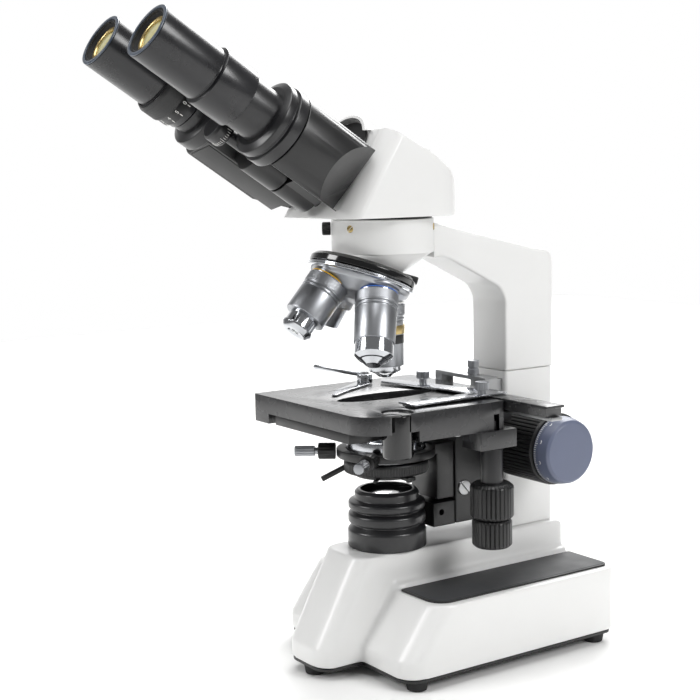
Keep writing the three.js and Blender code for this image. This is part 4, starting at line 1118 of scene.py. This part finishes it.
# ---------------------------------------------------------------- stage
@dataclass
class Stage:
    """The mechanical stage: fixed plate, moving plate, slide carriage and coaxial drive."""

    top: float = 156.2
    split: float = 145.8
    bottom: float = 139.9
    half_width: float = 58.5
    front: float = -54.5
    rear: float = 41.5
    drive_x: float = 54.0
    drive_y: float = 35.5

    def plates(self) -> None:
        """The lower plate on the carriage and the wide upper plate with its skirts and gearbox."""
        lower = box(-36.3, 40.9, self.front + 1.1, 61.9, self.bottom, self.split - 0.3)
        lower.cut(bar(27, (0, 0, 130), (0, 0, 150), 96, 0)).edges(0.4)
        lower.place("lower_plate", UPRIGHT, "carriage", ENAMEL_BLACK, ["stage_lower"])
        w = self.half_width
        plan = fillet([(-w, self.front, 1.5), (w, self.front, 17), (w, self.rear, 1.5),
                       (-w, self.rear, 1.5)], 16)
        upper = slab(plan, self.split, self.top)
        skirts = [box(-w, -42, self.front, self.rear, self.bottom, 147),
                  box(47, w, -19, self.rear, self.bottom, 147)]
        upper.join(*(skirt.keep(slab(plan, 120, self.top)) for skirt in skirts))
        upper.join(box(44, 61.4, 22.1, 47.9, 129.6, 140))
        ellipse = [(11 * math.cos(TURN * i / 72), 33 * math.sin(TURN * i / 72)) for i in range(72)]
        upper.cut(slab(ellipse, 120, 170), box(-30, 30, -44, 34, 130, 152.6),
                  bar(9, (50, -27.6, 100), (50, -27.6, 170), 64, 0),
                  box(49, 60, -37.5, -27.6, 143, 155.4),
                  bar(4.9, (self.drive_x, self.drive_y, 120), (self.drive_x, self.drive_y, 149), 48, 0))
        upper.edges(0.45, 3, 40)
        upper.place("upper_plate", UPRIGHT, "stage", ENAMEL_STAGE, ["stage_upper"])
        for i, (x, y) in enumerate(((45.5, 12), (-49, -40), (-49, 30))):
            screw = slotted_screw(2.6, 1.6, 0.8).turn(30 * i)
            screw.place(f"stage_screw_{i}", facing(UPRIGHT, (x + 6, y, self.bottom), (0, 0, -1)), "stage",
                        STEEL)

    def post(self) -> None:
        """The polished post at the stage's front right corner."""
        post = turned([(0, 131), (7.8, 131, 0.4), (8.5, 131.8, 0.3), (8.5, 154.8, 0.6), (7.6, 155.6, 0.2),
                       (0, 155.6)], 96)
        post.place("corner_post", moved(UPRIGHT, 50, -27.6), "stage", LACQUER_BLACK, ["stage_post"])

    def slide_carriage(self) -> None:
        """The guide bar with its bright rail, and the chromed slide holder on top."""
        guide = box(-38, 92, 42.1, 53.9, 150.7,
                    155.6).join(box(-38, 94.4, 41.3, 53.9, 155.6, 157.2)).edges(0.35)
        guide.place("guide_bar", UPRIGHT, "slide_carriage", ENAMEL_STAGE, ["x_guide_bar"])
        rail = box(-36, 94.8, 44, 52, 148.7, 150.6).edges(0.25)
        rail.place("guide_rail", UPRIGHT, "slide_carriage", STEEL)
        plan = fillet([(-46, 53), (-46, 30, 3), (-35, 22, 4), (17, 33, 4), (36, 33, 3), (36, -12, 1),
                       (31.5, -15, 1),
                       (47.5, -15, 1.5), (47.5, 40, 2), (47.5, 53, 1)], 6)
        holder = slab(plan, 157.5, 158.6).edges(0.2)
        holder.place("slide_clamp_plate", UPRIGHT, "slide_carriage", CHROMIUM, ["slide_holder"])
        jaw = box(37, 40, -14.6, 32, 156.5, 157.55).edges(0.1)
        jaw.place("slide_fence", UPRIGHT, "slide_carriage", STEEL)
        for i, x in enumerate((-12, 44)):
            where = moved(UPRIGHT, x, 37, 0)
            thumb = turned([(0, 158.4), (2.2, 158.4), (2.2, 161.2), (4, 161.3, 0.3),
                            *rows(4, 161.8, 165.4, 0.4),
                            (4, 165.9, 0.4), (0, 165.9)], 192, relief=flutes(24, 0.25, 161.7, 165.5, 0.5))
            thumb.place(f"thumb_screw_{i}", where, "slide_carriage", CHROMIUM_SATIN)

    def finger(self) -> None:
        """The sprung finger that presses the slide against the fence, with its lever."""
        plan = fillet([(-55, 15, 4), (-47, 11.5, 5), (-31, -13, 22), (-16.5, -26.6, 0.8), (-14.2, -24.6, 0.8),
                       (-25, -8, 24), (-38, 16, 4), (-46, 22.2, 4)], 8)
        blade = slab(plan, 156.5, 157.6).edges(0.25)
        boss = bar(4.9, (-46, 17.5, 156.6), (-46, 17.5, 162.4), 64, 0.5)
        lever = bar(1.5, (-47, 16.6, 161.9), (-72, -3, 166), 40, 0.6)
        blade.gather(boss, lever).place("spring_finger", UPRIGHT, "finger", CHROMIUM, ["slide_finger"])
        pin = slotted_screw(2.6, 1.6, 0.7)
        pin.place("finger_screw", moved(UPRIGHT, -46, 17.5, 162.3), "finger", STEEL)

    def drives(self) -> None:
        """The coaxial knobs under the gearbox: the upper moves the plate, the lower the slide."""
        where = moved(UPRIGHT, self.drive_x, self.drive_y)
        sleeve = turned([(3.3, 108.6), (6.4, 108.6), (6.4, 129.1, 0.3), (4.6, 129.2), (4.6, 137.9),
                         (3.3, 137.9)], 72,
                        closed=True)
        sleeve.place("drive_sleeve", where, "y_drive", ENAMEL_BARREL)
        upper = turned([(3.3, 88.7), (11.4, 88.7, 0.8), (12.6, 90.2, 1.2), (12.6, 107.2, 2.0),
                        (10.4, 108.9, 0.8), (3.3, 108.9)],
                       480, closed=True, relief=flutes(30, 0.55, 89.4, 107.9, 0.34))
        upper.place("drive_knob_upper", where, "y_drive", ABS_BLACK, ["y_drive_knob"])
        lower = turned([(0, 71.7), (9.8, 71.7, 0.8), (11.5, 73.2, 1.2), (11.5, 86.6, 1.6),
                        (10.2, 87.9, 0.8), (3, 87.9),
                        (3, 144.9), (0, 144.9)], 480, relief=flutes(28, 0.55, 72.4, 87.4, 0.34))
        lower.place("drive_knob_lower", where, "x_drive", ABS_BLACK, ["x_drive_knob"])

    def rear_stop(self) -> None:
        """The bright bridge behind the guide bar, with its knurled nut."""
        top = box(-23, 25, 55, 64.4, 161.6, 163.8)
        legs = [box(x, x + 6, 55, 64.4, 145.8, 162) for x in (-23, 19)]
        ties = [box(x, x + 6, self.rear + 0.35, 64.4, 145.8, 148.2) for x in (-23, 19)]
        top.join(*legs, *ties).edges(0.35)
        top.place("stop_bridge", UPRIGHT, "stage", STEEL, ["rear_stop"])
        where = moved(UPRIGHT, 8, 60)
        nut = turned([(0, 163.8), (3.4, 163.8, 0.3), *rows(3.4, 164.2, 167, 0.4), (3.4, 167.3, 0.3),
                      (2.9, 167.5),
                      (2.9, 168.3), (3.4, 168.5, 0.3), *rows(3.4, 168.8, 172, 0.4), (3.4, 172.5, 0.4),
                      (0, 172.5)], 192,
                     relief=flutes(24, 0.22, 164.3, 172.2, 0.5))
        nut.place("stop_nut", where, "stage", CHROMIUM_SATIN)

    def build(self) -> None:
        """Make the whole stage."""
        self.plates()
        self.post()
        self.slide_carriage()
        self.finger()
        self.drives()
        self.rear_stop()


# ---------------------------------------------------------------- head
@dataclass
class Head:
    """The white prism casting, its dovetail and the hinge with the eye-distance dial."""

    half_width: float = 36.0
    bottom: float = 260.9
    rear: float = 36.0
    hood_radius: float = 23.0
    hood_centre: float = 30.5
    face_gap: float = 1.8

    def face_y(self, z: float) -> float:
        """Where the slanted front face stands at a height."""
        return HINGE_Y + self.face_gap + (z - HINGE_Z) * math.tan(OCULAR_TILT)

    def casting(self) -> None:
        """The prism casting: a domed wedge with a hood over the hinge."""
        top = 310.3
        side = fillet([(self.rear, self.bottom), (self.rear, 269, 18), (29, 283, 22), (8.2, 297.5, 40),
                       (-12.2, 307.2, 24),
                       (self.face_y(top), top, 1.0), (self.face_y(self.bottom), self.bottom, 0)], 14)
        plan = fillet([(-self.half_width, -75), (self.half_width, -75), (self.half_width, self.rear, 22),
                       (-self.half_width, self.rear, 22)], 24)
        shell = side_slab(side, -self.half_width, self.half_width).keep(slab(plan, 250, 330))
        up, out = self.on_face(self.hood_centre, -1.5), self.on_face(self.hood_centre, -26)
        hood = bar(self.hood_radius, up, out, 96, 2.5)
        trim = box(-40, 40, -80, 80, 200, 284)
        hood.cut(trim)
        face = self.face_cut()
        shell.gather(hood).cast(0.9, 6).cut(face, box(-50, 50, -80, 60, 240, self.bottom + 0.05))
        shell.keep(self.rounded_front())
        lip = bar(self.hood_radius - 0.1, self.on_face(self.hood_centre, -2.4),
                  self.on_face(self.hood_centre, 3.4), 96, 0.8)
        lip.cut(bar(self.hood_radius - 2.3, self.on_face(self.hood_centre, -1.6),
                    self.on_face(self.hood_centre, 4), 96, 0),
                box(-40, 40, -80, 80, 200, 309))
        shell.gather(lip)
        shell.place("prism_casting", UPRIGHT, "head", POWDER_WHITE, ["head_body"])

    def on_face(self, up: float, out: float) -> Point3:
        """A point on the middle of the slanted face: so far up from the hinge, and so far out of it."""
        return (0.0, HINGE_Y + up * math.sin(OCULAR_TILT) - out * math.cos(OCULAR_TILT),
                HINGE_Z + up * math.cos(OCULAR_TILT) + out * math.sin(OCULAR_TILT))

    def rounded_front(self) -> Blank:
        """A block whose front corners round off the edges beside the slanted face."""
        w = self.half_width + 0.5
        block = slab(fillet([(-w, 1.4, 13), (w, 1.4, 13), (w, 140), (-w, 140)], 14), -60, 90)
        c, s = math.cos(OCULAR_TILT), math.sin(OCULAR_TILT)
        block.item.data.transform(Matrix(((1, 0, 0, 0), (0, c, s, HINGE_Y), (0, -s, c, HINGE_Z),
                                          (0, 0, 0, 1))))
        return block

    def face_cut(self) -> Blank:
        """A block that trims everything ahead of the slanted front face."""
        low, high = 240.0, 340.0
        return side_slab([(self.face_y(low), low), (self.face_y(high), high), (self.face_y(high) - 90, high),
                          (self.face_y(low) - 90, low)], -50, 50)

    def fittings(self) -> None:
        """The dovetail ring, the hinge axle with its dial, and the cap in the hood."""
        ring = turned([(11, 259.7), (28.5, 259.7), (28.5, 260.7), (11, 260.7)], 112, closed=True)
        ring.place("dovetail_plate", UPRIGHT, "head", ENAMEL_BLACK, ["dovetail_ring"])
        cap = turned([(0, -1.25), (20, -1.25), (20, 0.05, 0.4), (0, 0.05)], 112)
        cap.place("cover_disc", moved(OCULAR, 0, self.hood_centre), "head", ABS_BLACK, ["hood_cap"])
        axle = turned([(0, -11.9), (3.9, -11.9, 0.3), (3.9, 66.8), (7.9, 66.8, 0.3), (8.5, 67.6, 0.3),
                       (8.5, 74.4, 0.6),
                       (7.4, 75.9, 0.4), (0, 75.9)], 96)
        axle.place("hinge_dial", OCULAR, "head", ENAMEL_BARREL, ["hinge_axle"])
        ticks = [box(-0.1, 0.1, 68.2, 70.0 if i % 5 else 71.0, -0.05,
                     0.06).shift(TURN * 8.5 * i / 40) for i in range(40)]
        ticks[0].gather(*ticks[1:]).wrap(8.5)
        ticks[0].place("dial_scale", OCULAR, "head", INK_WHITE, sharp=10)

    def build(self) -> None:
        """Make the head."""
        self.casting()
        self.fittings()


# ---------------------------------------------------------------- eyepiece tubes
RIGHT_COLLAR = ((12.1, 52.4), (21.6, 52.4, 0.2), (22.1, 53, 0.4), (22.1, 58.6, 0.6), (20.4, 59.2, 0.2),
                (20.4, 60.2, 0.2),
                (21.4, 60.8, 0.4), (21.4, 64.6, 0.9), (17.5, 66.4, 0.6), (14.5, 66.4))
LEFT_COLLAR = ((12.1, 65.9), (18.6, 65.9, 0.2), (18.6, 67.1, 0.2), (20.2, 67.6, 0.5), (20.2, 75.0, 1.0),
               (16.4, 76.4, 0.5),
               (14.5, 76.6))


@dataclass
class EyeTube:
    """One hinged eyepiece tube with its eyepiece, on the right (+1) or the left (-1)."""

    name: str
    side: int
    arm: float = 29.2
    lift: float = 20.0
    housing_radius: float = 22.0
    barrel_radius: float = 15.0
    rim: float = 142.0
    facet_turn: float = 39.0
    housing_top: float = 52.0
    collar_rings: tuple[Point2, ...] = RIGHT_COLLAR

    def wing(self) -> Matrix:
        """The tube's frame on the hinge axis, turned to its lift."""
        return moved(OCULAR, spin=self.side * self.lift)

    def axis(self) -> Matrix:
        """The frame on the tube's own axis."""
        return moved(self.wing(), self.side * self.arm)

    def section(self) -> list[tuple[float, float]]:
        """The part of the wing's plane that the housing keeps: flat inside, and flat again below that."""
        wall, foot = self.side * 14.2, self.side * 29.8
        far = self.side * 60
        return [(wall, 30), (wall, -10), (foot, -22), (far, -22.1), (far, 30)]

    def housing(self) -> None:
        """The housing: a drum with a slanted facet outside, two flats inside, its cover and its hub."""
        centre = self.side * self.arm
        drum = bar(self.housing_radius, (centre, 0, 0.5), (centre, 0, self.housing_top), 160, 0.6)
        drum.keep(slab(self.section(), -5, 90))
        own = (4.0, 26.0) if self.side > 0 else (27.0, 49.0)
        other = (26.4, 70.0) if self.side > 0 else (-5.0, 26.6)
        hub = bar(11, (0, 0, own[0]), (0, 0, own[1]), 72, 0.5)
        bridge = box(min(0, centre), max(0, centre), -9, 9, own[0] + 0.05, own[1] - 0.05)
        drum.cut(bar(11.6, (0, 0, other[0]), (0, 0, other[1]), 72, 0)).join(hub, bridge)
        facet = slab([(0, 0), (40, 0), (40, 49)], -30, 30)
        facet.item.data.transform(Matrix(((1, 0, 0, 0), (0, 0, -1, 0), (0, 1, 0, 0), (0, 0, 0, 1))))
        facet.turn(180 if self.side < 0 else 0).turn(-self.side * self.facet_turn).shift(centre, 0, -0.01)
        drum.cut(facet, bar(4.3, (0, 0, -5), (0, 0, 60), 48, 0),
                 bar(12.0, (centre, 0, 17), (centre, 0, 80), 96, 0))
        drum.edges(0.3, 3, 26)
        drum.place(f"{self.name}_drum", self.wing(), f"{self.name}_tube", ENAMEL_BLACK,
                   [f"tube_housing_{self.name}"])
        # The thin cover lies on the lower flat, 1.3 mm in from its edges.
        start, end = Vector((self.side * 14.2, -10, 0)), Vector((self.side * 29.8, -22, 0))
        along = (end - start).normalized()
        out = Vector((along.y, -along.x, 0)) * self.side
        first, last = start + along * 1.5, start + along * 17.5
        plan = [first - out * 0.2, last - out * 0.2, last + out * 0.3, first + out * 0.3]
        cover = slab([(p.x, p.y) for p in plan], 4.5, self.housing_top - 1.5).edges(0.12)
        cover.place(f"{self.name}_drum_cover", self.wing(), f"{self.name}_tube", ENAMEL_BLACK)

    def tube(self) -> None:
        """The collars at the end of the housing and the tube that takes the eyepiece."""
        tube = turned([*self.collar_rings, (14.5, 81.9, 0.3), (12.1, 81.9)], 128, closed=True, steps=4)
        tube.place(f"{self.name}_collar_tube", self.axis(), f"{self.name}_tube", ENAMEL_BARREL,
                   [f"eyepiece_tube_{self.name}"])

    def eyepiece(self) -> None:
        """The eyepiece: sleeve, barrel, rim, baffle and the coated eye lens."""
        body = f"{self.name}_eyepiece"
        sleeve = 16.5 if self.side > 0 else 15.2
        profile = [(8.5, 60), (11.7, 60, 0.3), (11.7, 82.5), (sleeve, 82.5, 0.4), (sleeve, 103.2, 0.4),
                   (14.4, 103.8, 0.15), (14.4, 104.6, 0.15), (15, 104.9, 0.2), (15, self.rim - 1.2, 0.3),
                   (14.4, self.rim - 0.9), (11.6, self.rim - 0.9), (11.6, 139), (10.3, 137), (8.5, 137)]
        barrel = turned(profile, 128, closed=True)
        barrel.place(f"{self.name}_eyepiece_barrel", self.axis(), body, ANODISED_BLACK,
                     [f"eyepiece_{self.name}"])
        rim = turned([(12.9, self.rim - 0.95), (14.9, self.rim - 0.95, 0.1), (14.9, self.rim - 0.1, 0.5),
                      (12.9, self.rim - 0.1, 0.3)],
                     128, closed=True)
        rim.place(f"{self.name}_eyepiece_rim", self.axis(), body, RIM_GREY)
        baffle = turned([(9.4, 137.0), (12.9, 140.2), (12.9, 141.4, 0.2), (12.0, 141.4, 0.2),
                         (10.2, 138.6, 0.3), (9.4, 138.4)],
                        112, closed=True)
        baffle.place(f"{self.name}_eyepiece_baffle", self.axis(), body, BAFFLE_AND_SHADE_BLACK)
        retainer = turned([(8.9, 137.1), (10.5, 137.1), (10.5, 138.9, 0.3), (9.3, 138.4, 0.2),
                           (8.9, 137.9)], 96, closed=True)
        retainer.place(f"{self.name}_lens_ring", self.axis(), body, BRASS)
        lens = turned([(0, 134.5), (9.2, 134.5), (9.2, 137.2, 0.2), (6, 138.6, 4), (0, 139.2)], 96, steps=8)
        lens.place(f"{self.name}_eye_lens", self.axis(), body, GLASS_COATED)

    def build(self) -> None:
        """Make the tube and its eyepiece."""
        self.housing()
        self.tube()
        self.eyepiece()


@dataclass
class Diopter:
    """The knurled diopter ring on the left eyepiece, with its printed scale."""

    tube: EyeTube
    scale_radius: float = 16.6
    figures: str = "0123456789"

    def build(self) -> None:
        """Make the ring, the ticks and the figures."""
        where = self.tube.axis()
        ring = turned([(15.5, 86.5), (16.6, 86.5, 0.2), (16.6, 92.2), (17.3, 92.6, 0.3),
                       *rows(17.6, 93.6, 101.6, 0.4),
                       (17.2, 102.2), (16.4, 103.7, 0.5), (15.5, 103.7)], 480, closed=True,
                      relief=lambda a, r, z: diamond(80, 0.28, 1.1)(a, r, z) if 93.4 < z < 101.8 else r)
        ring.place("diopter_grip", where, "diopter", ABS_BLACK, ["diopter_ring"], sharp=180)
        pitch = TURN * self.scale_radius / 16
        ticks = [box(-0.2, 0.2, 86.7, 88.6, -0.05, 0.06).shift(pitch * i) for i in range(16)]
        ticks[0].gather(*ticks[1:]).wrap(self.scale_radius)
        ticks[0].place("diopter_scale", where, "diopter", INK_WHITE, sharp=10)
        digits = [lettering(self.figures[i % 10], 2.4).shift(pitch * i, 90.4) for i in range(16)]
        digits[0].gather(*digits[1:]).wrap(self.scale_radius + 0.02)
        digits[0].place("diopter_figures", where, "diopter", INK_WHITE, sharp=10)


# ---------------------------------------------------------------- studio
@dataclass
class Studio:
    """Camera, floor and soft light."""

    camera_at: Point3 = (650.16, -464.0, 281.14)
    azimuth: float = 55.92
    pitch: float = 7.355
    roll: float = 1.067
    lens: float = 71.07
    dim: float = 0.22

    def camera(self) -> None:
        """Stand the camera at the object's front right, a little above it."""
        a, p, r = (math.radians(v) for v in (self.azimuth, self.pitch, self.roll))
        level = Vector((math.cos(a), math.sin(a), 0))
        ahead = Vector((-math.sin(a) * math.cos(p), math.cos(a) * math.cos(p), -math.sin(p)))
        down = ahead.cross(level)
        right = math.cos(r) * level + math.sin(r) * down
        below = math.cos(r) * down - math.sin(r) * level
        data = bpy.data.cameras.new("camera")
        data.lens = self.lens
        data.sensor_width = 36
        data.clip_end = 20
        camera = bpy.data.objects.new("camera", data)
        rotation = Matrix((right, -below, -ahead)).transposed().to_4x4()
        camera.matrix_world = Matrix.Translation(Vector(self.camera_at) * MM) @ rotation
        bpy.context.scene.collection.objects.link(camera)
        bpy.context.scene.camera = camera

    def area(self, name: str, at: Point3, target: Point3, size: float, watts: float) -> None:
        """Add a square softbox that looks at a point."""
        data = bpy.data.lights.new(name, "AREA")
        data.size = size
        data.energy = watts
        light = bpy.data.objects.new(name, data)
        look = (Vector(target) - Vector(at)).to_track_quat("-Z", "Y")
        light.matrix_world = Matrix.Translation(at) @ look.to_matrix().to_4x4()
        bpy.context.scene.collection.objects.link(light)

    def light(self) -> None:
        """A dim surround, white only behind the object, with four softboxes."""
        world = bpy.data.worlds.new("surround")
        world.use_nodes = True
        tree = world.node_tree
        way = add_node(tree, "ShaderNodeTexCoord").outputs["Generated"]
        angle = math.radians(self.azimuth)
        along = add_node(tree, "ShaderNodeVectorMath", {"operation": "DOT_PRODUCT"},
                         {1: (-math.sin(angle), math.cos(angle), 0.0)}, {0: way}).outputs["Value"]
        share = add_node(tree, "ShaderNodeMapRange", None,
                         {"From Min": 0.62, "From Max": 0.9, "To Min": self.dim, "To Max": 1.0},
                         {"Value": along})
        tree.links.new(share.outputs[0], tree.nodes["Background"].inputs["Strength"])
        tree.nodes["Background"].inputs["Color"].default_value = (1.0, 1.0, 1.0, 1.0)
        bpy.context.scene.world = world
        self.area("key", (1.35, 0.45, 0.95), (0, 0, 0.18), 0.6, 13)
        self.area("front", (-0.5, -1.35, 0.9), (0, 0, 0.18), 0.6, 11)
        self.area("top", (0.1, -0.2, 1.5), (0, 0, 0.2), 0.9, 11)
        self.area("backdrop", (-1.0, 1.2, 1.3), (-0.6, 0.7, 0), 1.2, 34)
        bpy.context.scene.view_settings.view_transform = "Standard"

    def floor(self) -> None:
        """A wide pale floor."""
        work = bmesh.new()
        reach = 1.7
        corners = [work.verts.new((x, y, -FOOT * MM - 0.0002)) for x, y in
                   ((-reach, -reach), (reach, -reach), (reach, reach), (-reach, reach))]
        work.faces.new(corners)
        mesh = bpy.data.meshes.new("floor")
        work.to_mesh(mesh)
        work.free()
        floor = bpy.data.objects.new("floor", mesh)
        paper = Finish("studio_paper", "white_paint", "f6f6f5", Surface.SPRAYED, 0.9, grain_mm=2,
                       relief_mm=0.0, mottle=0.0)
        mesh.materials.append(paper.build())
        bpy.context.scene.collection.objects.link(floor)

    def build(self) -> None:
        """Set up the studio."""
        self.camera()
        self.light()
        self.floor()


def main() -> None:
    """Build the studio and every sub-assembly."""
    logging.basicConfig(level=logging.INFO, format="%(name)s: %(message)s")
    left = EyeTube("left", -1, housing_top=65.5, collar_rings=LEFT_COLLAR)
    for part in (Studio(), Base(), Lamp(), Limb(), Nosepiece(), Focus(), Condenser(), Stage(), Head(),
                 EyeTube("right", 1), left, Diopter(left)):
        LOG.info("building %s", type(part).__name__)
        part.build()


if __name__ == "__main__":
    main()
